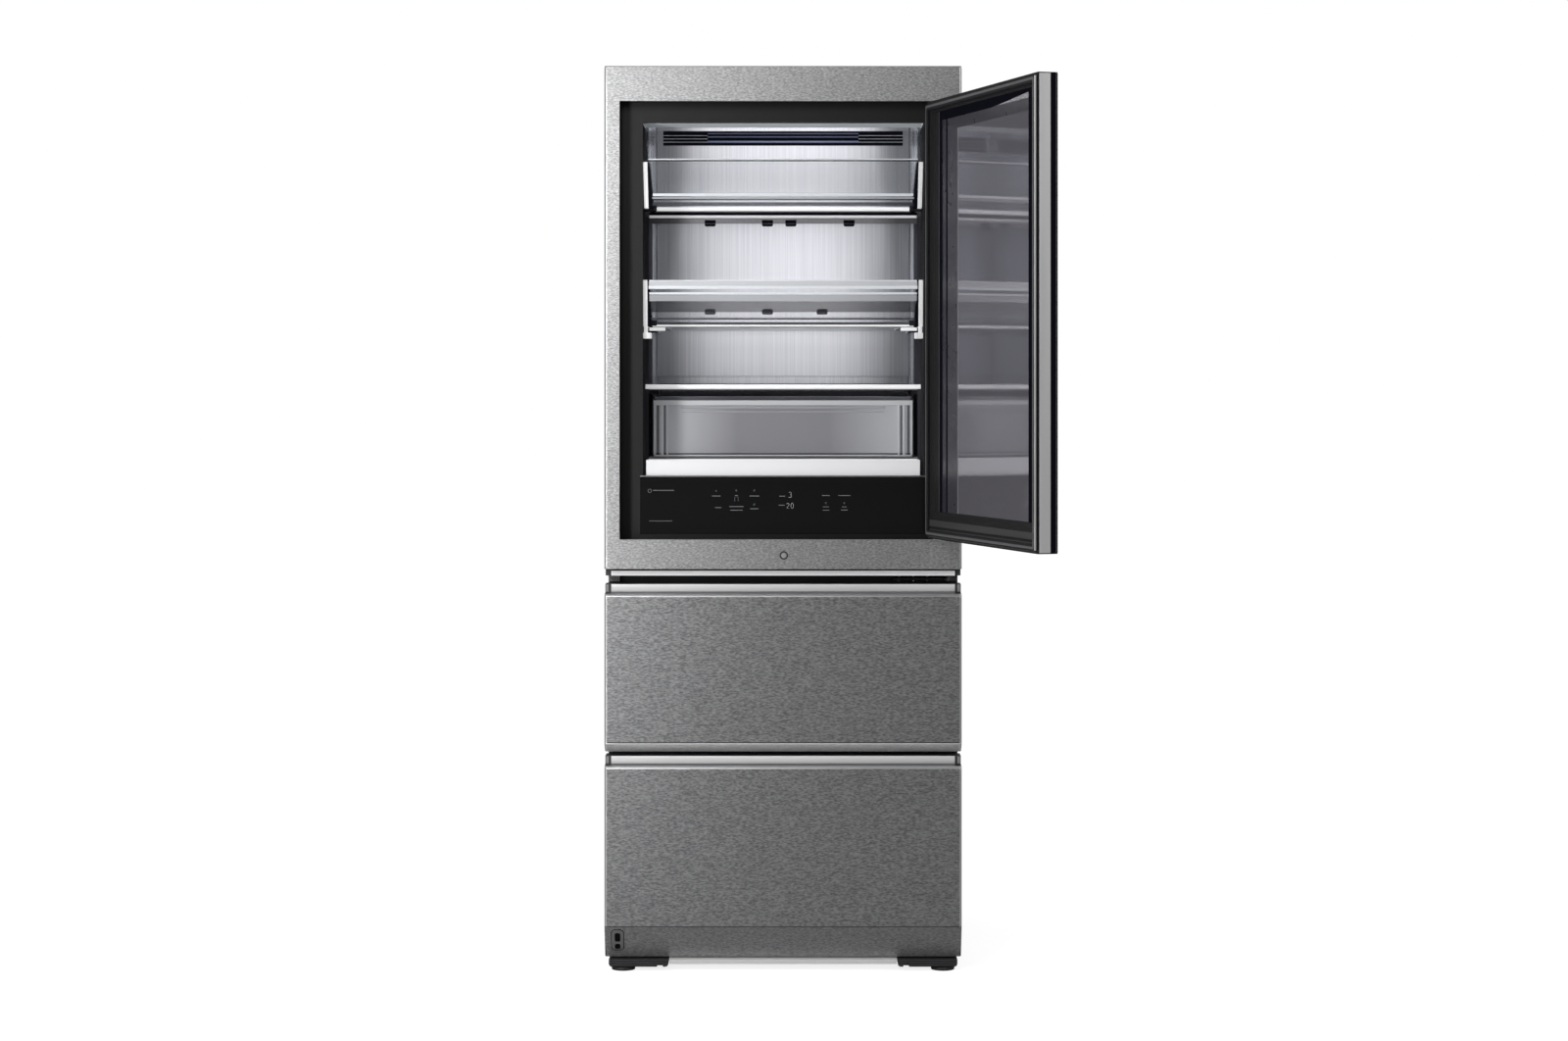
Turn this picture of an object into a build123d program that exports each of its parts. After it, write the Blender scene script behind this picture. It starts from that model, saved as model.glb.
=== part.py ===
"""Fridge freezer: a steel door with a glass door set in it, over two freezer drawers.

Millimetres. The origin is on the floor, at the middle of the cabinet's width and depth.
X runs to the right as seen from the front, Y runs to the back and Z up.
Depths are counted from the plane of the door fronts, towards the back.
"""
from build123d import *
import os

# Overall sizes
BODY_DEPTH = 725.0
DOOR_WIDTH = 754.0
SIDE_INSET = 5.0
DOOR_DEPTH = 67.0
SEAL_SPACE = 8.0
BASE_Z = 34.0
LOWER_DRAWER_HEIGHT = 419.0
DRAWER_GAP = 8.0
UPPER_DRAWER_HEIGHT = 355.0
HINGE_GAP = 18.0
MAIN_DOOR_HEIGHT = 1075.0
CABINET_DROP = 21.0

# Clearances and thicknesses
RUN = 0.3
PIN_CLEAR = 0.05
SHEET = 1.0
LINER = 2.0
EDGE_RADIUS = 6.0
SEAL_WIDTH = 17.0
DRAWER_SEAL_WIDTH = 11.0
SEAL_INSET = 25.0

# Fridge and freezer cavities
MOUTH_WALL = 46.0
MOUTH_DEPTH = 125.0
FRIDGE_WALL = 80.0
FREEZER_WALL = 50.0
CAVITY_WALL = 85.0
FRIDGE_FLOOR_RISE = 36.0
FRIDGE_CEILING_DROP = 38.0
FREEZER_CEILING_DROP = 26.0
FREEZER_FLOOR_RISE = 41.0
MACHINE_WALL = 20.0
MACHINE_DEPTH = 205.0
MACHINE_HEIGHT = 251.0
CROSSBAR_HEIGHT = 40.0
CROSSBAR_DEPTH = 41.0

# Window in the main door, and the ring behind it
WINDOW_RIM = 32.5
WINDOW_LOW_RISE = 77.0
WINDOW_TOP_DROP = 74.0
POCKET = 4.5
SURROUND_WALL = 2.5
SEAL_FACE_DEPTH = 47.0
SEAL_FACE = 3.0
RING_INSET = 46.5
RING_LOW_RISE = 207.0
RING_TOP_DROP = 41.0
RING_WALL = 7.0
RING_BACK = 185.0

# Control panel under the ring
PANEL_OVERLAP = 5.0
PANEL_LOW_RISE = 86.0
PANEL_TRIM_HEIGHT = 4.0
PANEL_TRIM_DEPTH = 3.0

# Glass door
GLASS_DOOR_GAP = 5.0
GLASS_DOOR_GAP_Z = 3.0
GLASS_DOOR_DEPTH = 40.0
GLASS = 4.0
GLASS_FRAME_WIDTH = 28.0
GLASS_RAIL_HEIGHT = 60.0
GLASS_FRAME_STEP = 2.0
REBATE = 1.5
EDGE_STRIP_FRONT = 11.0
EDGE_STRIP_WIDTH = 23.0
GLASS_SEAL_WIDTH = 13.0
GLASS_SEAL_INSET = 6.0
GLASS_HINGE_INSET = 1.0
GLASS_HINGE_DEPTH = 4.0
GLASS_PIN_R = 2.0
GLASS_PLATE = 2.5
GLASS_PLATE_EYE = 4.0
GLASS_PLATE_LENGTH = 60.0
GLASS_PLATE_DEPTH = 24.0
GLASS_COLLAR_R = 2.8
GLASS_OPEN = 105.5

# Main door hinge
HINGE_INSET = 22.0
HINGE_DEPTH = 30.0
HINGE_PIN_R = 6.0
PIN_REACH = 22.0
CAP_HEIGHT = 26.0
FLANGE = 3.0
FLANGE_RISE = 8.0
MIDDLE_PLATE = 122.0
HINGE_COLLAR_R = 10.0
HINGE_PLATE = 4.0
ARM_HALF = 13.0
TOP_PLATE_BACK = 205.0
TOP_PLATE_WIDTH = 90.0
DOOR_TOP_CLEAR = 1.5
TOP_RIDGE = 5.0
COVER_WALL = 2.0
SCREW_R = 3.0
SCREW_HEAD_R = 5.5
SCREW_HEAD = 3.0
SCREW_SUNK = 14.0
TOP_SCREWS = ((24.0, 185.0), (74.0, 185.0), (74.0, 115.0))
SMALL_SCREWS = (108.0, 78.0, 48.0)
SMALL_SCREW_R = 1.8
SMALL_HEAD_R = 2.8
SMALL_HEAD = 2.0
SMALL_SCREW_RISE = 5.0

# Grips along the edges of the door and the drawers
STRIP_INSET = 14.0
STRIP_DEPTH = 14.0
STRIP = 3.0
STRIP_HEIGHT = 16.0
DOOR_STRIP_HEIGHT = 12.0
GRIP_INSET = 29.0
GRIP_BACK = 42.0
GRIP_DEPTH = 44.0
DOOR_GRIP_DEPTH = 32.0
GRIP_TO_HINGE = 35.0
CAP_WALL = 2.0
DRAWER_SKIN_DROP = 20.0
UPPER_BEVEL = (28.0, 21.0)
LOWER_BEVEL = (30.0, 69.0)
DRAWER_HANG = 7.0
SENSOR_INSET = (13.0, 42.0)
SENSOR_RISE = (14.0, 61.0)
SENSOR_STAND = 3.0

# Door baskets
BASKET_FRONT = 62.0
BASKET_DEPTH = 112.0
BASKET_WALL = 2.5
BASKET_INSET = 19.0
BASKET_FLARE = 9.0
BASKET_TRIM = 6.0
BASKET_PLACES = ((173.0, 97.0), (419.0, 85.0))
BASKET_LEDGE = (26.0, 60.0, 11.0)
RACK_INSET = 7.0
RACK_HEIGHT = 32.0
RACK_FENCE = 6.0

# Shelves and fridge drawers
SHELF_FRONT = 203.0
SHELF_BACK_GAP = 34.0
SHELF_GLASS = 4.0
SHELF_INSET = 24.0
SHELF_PLACES = ((227.0, 10.0), (480.0, 8.0))
SHELF_RIM = 12.0
SHELF_LEDGE = 12.0
DRAWER_LEDGE = 22.0
LEDGE_HEIGHT = 8.0
CRISPER_COVER_RISE = 368.0
CRISPER_COVER_HEIGHT = 12.0
CRISPER_COVER_RIM = 16.0
CRISPER_INSET = 11.0
CRISPER_RISE = 211.0
CRISPER_HEIGHT = 130.0
DIVIDER_HEIGHT = 16.0
DIVIDER_RIM = 6.0
DIVIDER_END = 26.0
PULL_INSET = 60.0
PULL_REACH = 10.0
PULL_DROP = (26.0, 20.0)
FRESH_RISE = 12.0
FRESH_HEIGHT = 150.0
DRAWER_SETBACK = 2.0
DRAWER_BACK_GAP = 50.0
TRAY_WALL = 3.0

# Rear panel of the fridge
DUCT_DEPTH = 14.0
DUCT_SHEET = 3.0
LOUVRE_INSET = 20.0
LOUVRE_MIDDLE = 60.0
LOUVRE_DROP = (60.0, 32.0)
LOUVRE_BARS = 4
LOUVRE_BAR = 3.0
VENT_SIZE = (22.0, 8.0)
UPPER_VENTS = (241.0, (-168.0, -36.0, 18.0, 152.0))
LOWER_VENTS = (444.0, (-168.0, -36.0, 90.0))

# Freezer bins and their runners
BIN_INSET = 24.0
BIN_FRONT = 74.0
UPPER_BIN_GAP = 80.0
LOWER_BIN_GAP = 14.0
BIN_CLEAR_Z = 16.0
UPPER_BIN_HEIGHT = 250.0
LOWER_BIN_HEIGHT = 320.0
RUNNER_FLANGE = 20.0
RUNNER = 3.0
RUNNER_HEIGHT = 34.0
RAIL_HEIGHT = 24.0
RAIL_DEPTH = 13.0

# Cooling parts behind the freezer
DUCT_COVER_DEPTH = 55.0
DUCT_COVER = 3.0
COIL_FINS = 24
COIL_FIN = 0.6
COIL_INSET = 112.0
COIL_RISE = (170.0, 340.0)
COIL_FRONT_GAP = 13.0
COIL_BACK_GAP = 6.0
COIL_TUBE_R = 4.0
COIL_BEND_R = 5.0
COIL_ROWS = 5
OUTLET_SLOTS = 7
OUTLET_PITCH = 12.0
OUTLET_HALF = 3.0
RETURN_SLOTS = (-200.0, 0.0, 200.0)
RETURN_HALF = 60.0
RETURN_RISE = (40.0, 52.0)
COIL_END = 20.0
COIL_PLATE = (5.0, 8.0)
FREEZER_FAN_DROP = 65.0
FREEZER_FAN_GAP = 10.0
MOTOR_ARM = 7.0
MOTOR_ARM_PLATE = 4.0
FAN_R = 45.0
FAN_HUB_R = 14.0
FAN_DEPTH = 18.0
FAN_BLADES = 7
FAN_SHAFT_R = 2.0
BLADE = 1.6
BLADE_PITCH = 32.0
BLADE_REACH = 1.2
BLADE_ROOT = 2.0
MOTOR_R = 18.0

# Machine room
COMPRESSOR_X = -210.0
COMPRESSOR_R = 72.0
COMPRESSOR_HEIGHT = 150.0
COMPRESSOR_BACK = 100.0
COMPRESSOR_LIFT = 4.0
COMPRESSOR_ROUND = 24.0
COMPRESSOR_FOOT = 3.0
COMPRESSOR_FOOT_RIM = 16.0
RELAY_BOX = ((-12.0, 20.0), 26.0, (50.0, 110.0))
PAN_HALF = (90.0, 70.0)
PAN_HEIGHT = 36.0
PAN_WALL = 3.0
GROMMET_R = 13.0
GROMMET_HEIGHT = 14.0
GROMMET_SPREAD = (66.0, 45.0)
CONDENSER_X = (60.0, 250.0)
CONDENSER_BACK = 35.0
CONDENSER_LENGTH = 130.0
CONDENSER_TOP = 210.0
CONDENSER_PLATES = 14
CONDENSER_FIN = 0.8
CONDENSER_TUBE_R = 4.0
CONDENSER_TUBE_INSET = 30.0
CONDENSER_TUBE_RISES = (40.0, 90.0, 140.0)
COOLING_FAN_X = -20.0
COOLING_FAN_RISE = 90.0
COOLING_FAN_R = 68.0
COOLING_HUB_R = 22.0
COOLING_FAN_DEPTH = 24.0
COOLING_BLADES = 5
COOLING_MOTOR = 34.0
SHROUD_HALF = 84.0
SHROUD_HEIGHT = 176.0
SHROUD_PORT_HALF = 60.0
SHROUD_PORT = (12.0, 44.0)
REAR_COVER = 2.0
SLOT = (90.0, 6.0)
SLOT_PITCH = (130.0, 24.0)
SLOT_RISE = 60.0
GLAND_R = 7.0
GLAND_RIM = 4.0
GLAND_INSET = 40.0
GLAND_RISE = 120.0

# Feet, rollers and kick plate
FOOT_INSET = 34.0
FOOT_FRONT = 8.0
FOOT_R = 25.0
FOOT_PAD = 9.0
FOOT_STEM_R = 5.0
FOOT_BRACKET_INSET = 4.0
FOOT_BRACKET_LENGTH = 126.0
FOOT_BRACKET_D = (8.0, 132.0)
UNDER_CLEAR = 3.0
FOOT_BRACKET_LIFT = 9.0
FOOT_BRACKET_ROUND = 7.0
FOOT_NOTCH = (12.0, 24.0)
FOOT_NOTCH_DEPTH = 20.0
FOOT_NOTCH_HEIGHT = 7.0
FORK_HALF = 9.0
FORK_DROP = 8.0
ROLLER_INSET = 52.0
ROLLER_BACK = 55.0
ROLLER_R = 15.0
ROLLER_WIDTH = 18.0
AXLE_R = 4.0
CHEEK = 3.0
KICK_GAP = 2.0
KICK_FRONT = 12.0
KICK_HEIGHT = 10.0
KICK_HOLD = 24.0
KICK = 3.0
RAIL = 2.0

# Places worked out from the sizes above
FRONT = -BODY_DEPTH / 2
HALF_DOOR = DOOR_WIDTH / 2
HALF_BODY = HALF_DOOR - SIDE_INSET
INSIDE = HALF_BODY - SHEET
MOUTH_HALF = HALF_BODY - MOUTH_WALL
FRIDGE_HALF = HALF_BODY - FRIDGE_WALL
FREEZER_HALF = HALF_BODY - FREEZER_WALL
WINDOW_HALF = HALF_DOOR - WINDOW_RIM
RING_HALF = WINDOW_HALF - RING_INSET
PANEL_HALF = RING_HALF + PANEL_OVERLAP
BASKET_BOTTOM_HALF = RING_HALF - BASKET_INSET
RACK_HALF = RING_HALF - RACK_INSET
SHELF_HALF = FRIDGE_HALF - SHELF_INSET
CRISPER_HALF = FRIDGE_HALF - CRISPER_INSET
LOUVRE_HALF = FRIDGE_HALF - LOUVRE_INSET
BIN_HALF = FREEZER_HALF - BIN_INSET
COIL_HALF = FREEZER_HALF - COIL_INSET
STRIP_HALF = HALF_DOOR - STRIP_INSET
GRIP_HALF = HALF_DOOR - GRIP_INSET
FOOT_X = HALF_BODY - FOOT_INSET
FOOT_D = FOOT_FRONT + FOOT_R
FOOT_OUTER = HALF_BODY - FOOT_BRACKET_INSET
FOOT_BRACKET = (FOOT_OUTER - FOOT_BRACKET_LENGTH, FOOT_OUTER)
ROLLER_X = HALF_BODY - ROLLER_INSET
KICK_HALF = FOOT_BRACKET[0] - KICK_GAP
BODY_FRONT = DOOR_DEPTH + SEAL_SPACE
CAVITY_BACK = BODY_DEPTH - CAVITY_WALL
MACHINE_FRONT = BODY_DEPTH - MACHINE_DEPTH
LOWER_CAVITY_BACK = MACHINE_FRONT - MACHINE_WALL
SHELF_BACK = CAVITY_BACK - SHELF_BACK_GAP
DRAWER_BACK = CAVITY_BACK - DRAWER_BACK_GAP
DUCT_FRONT = CAVITY_BACK - DUCT_DEPTH
UPPER_BIN_BACK = CAVITY_BACK - UPPER_BIN_GAP
LOWER_BIN_BACK = LOWER_CAVITY_BACK - LOWER_BIN_GAP
DUCT_COVER_FRONT = CAVITY_BACK - DUCT_COVER_DEPTH
COIL_DEPTH = (DUCT_COVER_FRONT + COIL_FRONT_GAP, CAVITY_BACK - COIL_BACK_GAP)
FOAM_FRONT = BODY_FRONT + SHEET
FOAM_BACK = BODY_DEPTH - SHEET
LOWER_TOP = BASE_Z + LOWER_DRAWER_HEIGHT
LOWER_LOW = BASE_Z - DRAWER_HANG
UNDER_DRAWER = LOWER_LOW - UNDER_CLEAR
UPPER_BOTTOM = LOWER_TOP + DRAWER_GAP
UPPER_TOP = UPPER_BOTTOM + UPPER_DRAWER_HEIGHT
DOOR_BOTTOM = UPPER_TOP + HINGE_GAP
DOOR_TOP = DOOR_BOTTOM + MAIN_DOOR_HEIGHT
BODY_TOP = DOOR_TOP - CABINET_DROP
CAP_TOP = BODY_TOP - DOOR_TOP_CLEAR
FRIDGE_FLOOR = DOOR_BOTTOM + FRIDGE_FLOOR_RISE
FRIDGE_CEILING = BODY_TOP - FRIDGE_CEILING_DROP
FREEZER_CEILING = UPPER_TOP - FREEZER_CEILING_DROP
FREEZER_FLOOR = BASE_Z + FREEZER_FLOOR_RISE
BASE_TOP = BASE_Z + LINER
SHELVES = [(FRIDGE_CEILING - drop, height) for drop, height in SHELF_PLACES]
LOUVRE_Z = [FRIDGE_CEILING - drop for drop in LOUVRE_DROP]
CRISPER_COVER_Z = FRIDGE_FLOOR + CRISPER_COVER_RISE
CRISPER_Z = FRIDGE_FLOOR + CRISPER_RISE
FREEZER_FAN_Z = FREEZER_CEILING - FREEZER_FAN_DROP
MACHINE_TOP = BASE_Z + MACHINE_HEIGHT
FREEZER_STEP = MACHINE_TOP + 15.0
COIL_Z = [FREEZER_STEP + rise for rise in COIL_RISE]
COMPRESSOR_TOP = BASE_TOP + GROMMET_HEIGHT + COMPRESSOR_LIFT + COMPRESSOR_HEIGHT
MOUTH_BACK = BODY_FRONT + MOUTH_DEPTH
CROSSBAR_Z = LOWER_TOP + DRAWER_GAP / 2 - CROSSBAR_HEIGHT / 2
WINDOW_LOW = DOOR_BOTTOM + WINDOW_LOW_RISE
WINDOW_TOP = DOOR_TOP - WINDOW_TOP_DROP
RING_LOW = DOOR_BOTTOM + RING_LOW_RISE
RING_TOP = WINDOW_TOP - RING_TOP_DROP
BASKETS = [(RING_TOP - drop, height) for drop, height in BASKET_PLACES]
PANEL_LOW = DOOR_BOTTOM + PANEL_LOW_RISE
SURROUND_BACK = SEAL_FACE_DEPTH + SEAL_FACE
LINER_BACK = DOOR_DEPTH - LINER
HINGE_X = HALF_DOOR - HINGE_INSET
GLASS_HALF = WINDOW_HALF - GLASS_DOOR_GAP
GLASS_LOW = WINDOW_LOW + GLASS_DOOR_GAP_Z
GLASS_TOP = WINDOW_TOP - GLASS_DOOR_GAP_Z
GLASS_HINGE_X = GLASS_HALF - GLASS_HINGE_INSET
SKIN_FOOT = DOOR_BOTTOM + DOOR_STRIP_HEIGHT + CAP_WALL
UPPER_BIN_LOW = CROSSBAR_Z + CROSSBAR_HEIGHT + BIN_CLEAR_Z
UPPER_BIN_Z = (UPPER_BIN_LOW, UPPER_BIN_LOW + UPPER_BIN_HEIGHT)
LOWER_BIN_LOW = FREEZER_FLOOR + BIN_CLEAR_Z
LOWER_BIN_Z = (LOWER_BIN_LOW, LOWER_BIN_LOW + LOWER_BIN_HEIGHT)
COVER_RIGHT = HALF_BODY - 2.0
GLAND_X = INSIDE - GLAND_INSET
GLAND_Z = BASE_Z + GLAND_RISE
COOLING_FAN_Z = BASE_TOP + COOLING_FAN_RISE
COMPRESSOR_LOW = BASE_TOP + GROMMET_HEIGHT
BASE_BACK = BODY_DEPTH - REAR_COVER
COMPRESSOR_D = BODY_DEPTH - COMPRESSOR_BACK
CONDENSER_D = (BODY_DEPTH - CONDENSER_BACK - CONDENSER_LENGTH, BODY_DEPTH - CONDENSER_BACK)
ROLLER_D = BODY_DEPTH - ROLLER_BACK


def slab(x, d, z):
    """A box between two widths, two depths behind the door fronts and two heights."""
    middle = Pos((x[0] + x[1]) / 2, FRONT + (d[0] + d[1]) / 2, (z[0] + z[1]) / 2)
    return middle * Box(x[1] - x[0], d[1] - d[0], z[1] - z[0])


def wide(half):
    """The two widths of something centred on the cabinet."""
    return (-half, half)


def mirrored(x, d, z):
    """The same slab on the right and, mirrored, on the left."""
    return [slab(x, d, z), slab((-x[1], -x[0]), d, z)]


def group(solids):
    """Separate solids that make one named piece or set."""
    return Compound(children=list(solids))


def post(x, d, z, radius):
    """An upright cylinder between two heights."""
    return Pos(x, FRONT + d, (z[0] + z[1]) / 2) * Cylinder(radius, z[1] - z[0])


def rod_x(x, d, z, radius):
    """A cylinder across the cabinet, between two widths."""
    return Pos((x[0] + x[1]) / 2, FRONT + d, z) * Rot(0, 90, 0) * Cylinder(radius, x[1] - x[0])


def rod_y(x, d, z, radius):
    """A cylinder from front to back, between two depths."""
    return Pos(x, FRONT + (d[0] + d[1]) / 2, z) * Rot(90, 0, 0) * Cylinder(radius, d[1] - d[0])


def prism_x(points, x):
    """An outline of depths and heights, drawn out across the cabinet between two widths."""
    outline = Polygon(*[(FRONT + d, z) for d, z in points], align=None)
    return extrude(Plane.YZ.offset(x[0]) * outline, amount=x[1] - x[0], dir=(1, 0, 0))


def prism_y(points, d):
    """An outline of widths and heights, drawn out from one depth to another."""
    plane = Plane(origin=(0, FRONT + d[1], 0), x_dir=(1, 0, 0), z_dir=(0, -1, 0))
    return extrude(plane * Polygon(*points, align=None), amount=d[1] - d[0], dir=(0, -1, 0))


def front_block(z, bevel, inset=0.0):
    """A door or drawer front with rounded edges, bevelled back at its foot, and drawn in by inset."""
    half = HALF_DOOR - inset
    over = 2 * inset
    plan = Pos(0, FRONT + (inset + DOOR_DEPTH + over) / 2) * Rectangle(2 * half, DOOR_DEPTH + over - inset)
    plan = fillet(plan.vertices().sort_by(Axis.Y)[:2], EDGE_RADIUS - inset)
    low = z[0] + (inset if bevel else -over)
    block = extrude(Pos(0, 0, low) * plan, amount=z[1] + over - low)
    if bevel:
        back, rise = bevel
        corner = [(-1, z[0] - 1), (back, z[0] - 1), (back, z[0]), (0, z[0] + rise), (-1, z[0] + rise)]
        moved = [(d + inset, height + inset / 2) for d, height in corner]
        moved[0], moved[1] = (moved[0][0], z[0] - 1), (moved[1][0], z[0] - 1)
        block -= prism_x(moved, wide(HALF_DOOR + 1))
    return block


def tray(half, d, z, wall):
    """An open-topped box with plain walls."""
    outside = slab(wide(half), d, z)
    inside = slab(wide(half - wall), (d[0] + wall, d[1] - wall), (z[0] + wall, z[1] + 1))
    return outside - inside


def rounded(solid, axis, radius):
    """The solid with its edges along one axis rounded."""
    return fillet(solid.edges().filter_by(axis), radius)


def frame(half, low, top, width, d):
    """A flat upright ring of one width, between two depths."""
    outside = slab(wide(half), d, (low, top))
    return outside - slab(wide(half - width), (d[0] - 1, d[1] + 1), (low + width, top - width))


def cabinet_shell():
    outside = slab(wide(HALF_BODY), (BODY_FRONT, BODY_DEPTH), (BASE_Z, BODY_TOP))
    return outside - slab(wide(INSIDE), (BODY_FRONT - 1, BODY_DEPTH + 1), (BASE_Z - 1, BODY_TOP - SHEET))


def front_frame():
    """The sheet the seals close on, with the bar between the two freezer drawers."""
    plate = slab(wide(INSIDE), (BODY_FRONT, FOAM_FRONT), (BASE_Z, BODY_TOP - SHEET))
    through = (BODY_FRONT - 1, FOAM_FRONT + 1)
    plate -= slab(wide(MOUTH_HALF), through, (FRIDGE_FLOOR, FRIDGE_CEILING))
    plate -= slab(wide(FREEZER_HALF), through, (FREEZER_FLOOR, FREEZER_CEILING))
    bar = (CROSSBAR_Z, CROSSBAR_Z + CROSSBAR_HEIGHT)
    return plate + slab(wide(FREEZER_HALF), (BODY_FRONT, BODY_FRONT + CROSSBAR_DEPTH), bar)


def cabinet_foam():
    """Foam, as the slabs of the cabinet's walls, floors and backs."""
    top = BODY_TOP - SHEET
    mouth = MOUTH_HALF + LINER
    fridge = FRIDGE_HALF + LINER
    freezer = FREEZER_HALF + LINER
    back = CAVITY_BACK + LINER
    floor, ceiling = FRIDGE_FLOOR - LINER, FRIDGE_CEILING + LINER
    lid = FREEZER_CEILING + LINER
    slabs = mirrored((mouth, INSIDE), (FOAM_FRONT, FOAM_BACK), (floor, top))
    slabs += mirrored((fridge, mouth), (MOUTH_BACK + LINER, back), (floor, ceiling))
    slabs += mirrored((freezer, INSIDE), (FOAM_FRONT, MACHINE_FRONT), (BASE_TOP, lid))
    slabs += mirrored((freezer, INSIDE), (MACHINE_FRONT, FOAM_BACK), (MACHINE_TOP, lid))
    slabs.append(slab(wide(mouth), (FOAM_FRONT, FOAM_BACK), (ceiling, top)))
    slabs.append(slab(wide(mouth), (back, FOAM_BACK), (floor, ceiling)))
    slabs.append(slab(wide(INSIDE), (FOAM_FRONT, FOAM_BACK), (lid, floor)))
    slabs.append(slab(wide(freezer), (back, FOAM_BACK), (MACHINE_TOP, lid)))
    slabs.append(slab(wide(freezer), (MACHINE_FRONT, back), (MACHINE_TOP, FREEZER_STEP - LINER)))
    step = LOWER_CAVITY_BACK + LINER
    slabs.append(slab(wide(freezer), (step, MACHINE_FRONT), (BASE_TOP, FREEZER_STEP - LINER)))
    slabs.append(slab(wide(freezer), (FOAM_FRONT, step), (BASE_TOP, FREEZER_FLOOR - LINER)))
    return group(slabs)


def wall_ledge(top, reach):
    """A rib on each side wall of the fridge that a shelf or drawer lies on."""
    x = (FRIDGE_HALF - reach, FRIDGE_HALF)
    return mirrored(x, (SHELF_FRONT + 10, SHELF_BACK), (top - LEDGE_HEIGHT, top))


def fridge_liner():
    """The white inner box, wider at its mouth, with the ribs under its shelves and drawers."""
    shell = (FRIDGE_FLOOR - LINER, FRIDGE_CEILING + LINER)
    hollow = (FRIDGE_FLOOR, FRIDGE_CEILING)
    outside = slab(wide(MOUTH_HALF + LINER), (FOAM_FRONT, MOUTH_BACK + LINER), shell)
    outside += slab(wide(FRIDGE_HALF + LINER), (FOAM_FRONT, CAVITY_BACK + LINER), shell)
    inside = slab(wide(MOUTH_HALF), (FOAM_FRONT - 1, MOUTH_BACK), hollow)
    inside += slab(wide(FRIDGE_HALF), (FOAM_FRONT - 1, CAVITY_BACK), hollow)
    liner = outside - inside
    for top, height in SHELVES:
        liner += wall_ledge(top - height, SHELF_LEDGE)
    liner += wall_ledge(CRISPER_COVER_Z - CRISPER_COVER_HEIGHT, SHELF_LEDGE)
    liner += wall_ledge(CRISPER_Z - RUN - DIVIDER_HEIGHT, SHELF_LEDGE)
    return liner + wall_ledge(FRIDGE_FLOOR + FRESH_RISE - RUN, DRAWER_LEDGE)


def rear_duct_panel():
    """The fridge's folded metal back, with its air slots and the louvre at its top."""
    low = CRISPER_COVER_Z + 20
    high = FRIDGE_CEILING - 8
    half = FRIDGE_HALF - 2
    sheet = slab(wide(half), (DUCT_FRONT, CAVITY_BACK), (low, high))
    hollow = (DUCT_FRONT + DUCT_SHEET, CAVITY_BACK + 1)
    sheet -= slab(wide(half - DUCT_SHEET), hollow, (low + DUCT_SHEET, high - DUCT_SHEET))
    through = (DUCT_FRONT - 1, CAVITY_BACK - 2)
    width, height = VENT_SIZE
    for drop, places in (UPPER_VENTS, LOWER_VENTS):
        z = FRIDGE_CEILING - drop
        for x in places:
            sheet -= slab((x - width / 2, x + width / 2), through, (z - height / 2, z + height / 2))
    pitch = (LOUVRE_Z[1] - LOUVRE_Z[0] - LOUVRE_BAR) / LOUVRE_BARS
    for row in range(LOUVRE_BARS):
        z = LOUVRE_Z[0] + LOUVRE_BAR + row * pitch
        for x in ((-LOUVRE_HALF, -LOUVRE_MIDDLE), wide(LOUVRE_MIDDLE - 4), (LOUVRE_MIDDLE, LOUVRE_HALF)):
            sheet -= slab(x, through, (z, z + pitch - LOUVRE_BAR))
    return sheet


def shelf_glass(top):
    """The glass plate of one shelf."""
    return slab(wide(SHELF_HALF), (SHELF_FRONT + 4, SHELF_BACK - 4), (top - SHELF_GLASS, top))


def shelf_trim(top, height, rim):
    """The trims around one shelf's glass, out to the ledges on the side walls."""
    trim = slab(wide(FRIDGE_HALF - RUN), (SHELF_FRONT, SHELF_BACK), (top - height, top))
    trim -= slab(wide(SHELF_HALF - rim), (SHELF_FRONT + rim, SHELF_BACK - rim), (top - height - 1, top + 1))
    return trim - slab(wide(SHELF_HALF), (SHELF_FRONT + 4, SHELF_BACK - 4), (top - SHELF_GLASS, top + 1))


def bin_rails(bottom, back):
    """The rails moulded on the freezer's walls, that one bin's runners slide along."""
    middle = bottom + RUNNER_HEIGHT / 2
    z = (middle - RAIL_HEIGHT / 2, middle + RAIL_HEIGHT / 2)
    return mirrored((FREEZER_HALF - RAIL_DEPTH, FREEZER_HALF), (BODY_FRONT + 12, back), z)


def freezer_liner():
    """The white inner box of the freezer, stepped over the machine room, with its rails."""
    upper = (FREEZER_STEP, FREEZER_CEILING)
    lower = (FREEZER_FLOOR, FREEZER_STEP + 1)
    half = wide(FREEZER_HALF + LINER)
    outside = slab(half, (FOAM_FRONT, CAVITY_BACK + LINER), (upper[0] - LINER, upper[1] + LINER))
    outside += slab(half, (FOAM_FRONT, LOWER_CAVITY_BACK + LINER), (lower[0] - LINER, lower[1]))
    inside = slab(wide(FREEZER_HALF), (FOAM_FRONT - 1, CAVITY_BACK), upper)
    inside += slab(wide(FREEZER_HALF), (FOAM_FRONT - 1, LOWER_CAVITY_BACK), lower)
    liner = outside - inside
    for rail in bin_rails(UPPER_BIN_Z[0], UPPER_BIN_BACK) + bin_rails(LOWER_BIN_Z[0], LOWER_BIN_BACK):
        liner += rail
    return liner


def back_panel():
    return slab(wide(INSIDE), (FOAM_BACK, BODY_DEPTH), (MACHINE_TOP, BODY_TOP - SHEET))


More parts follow.
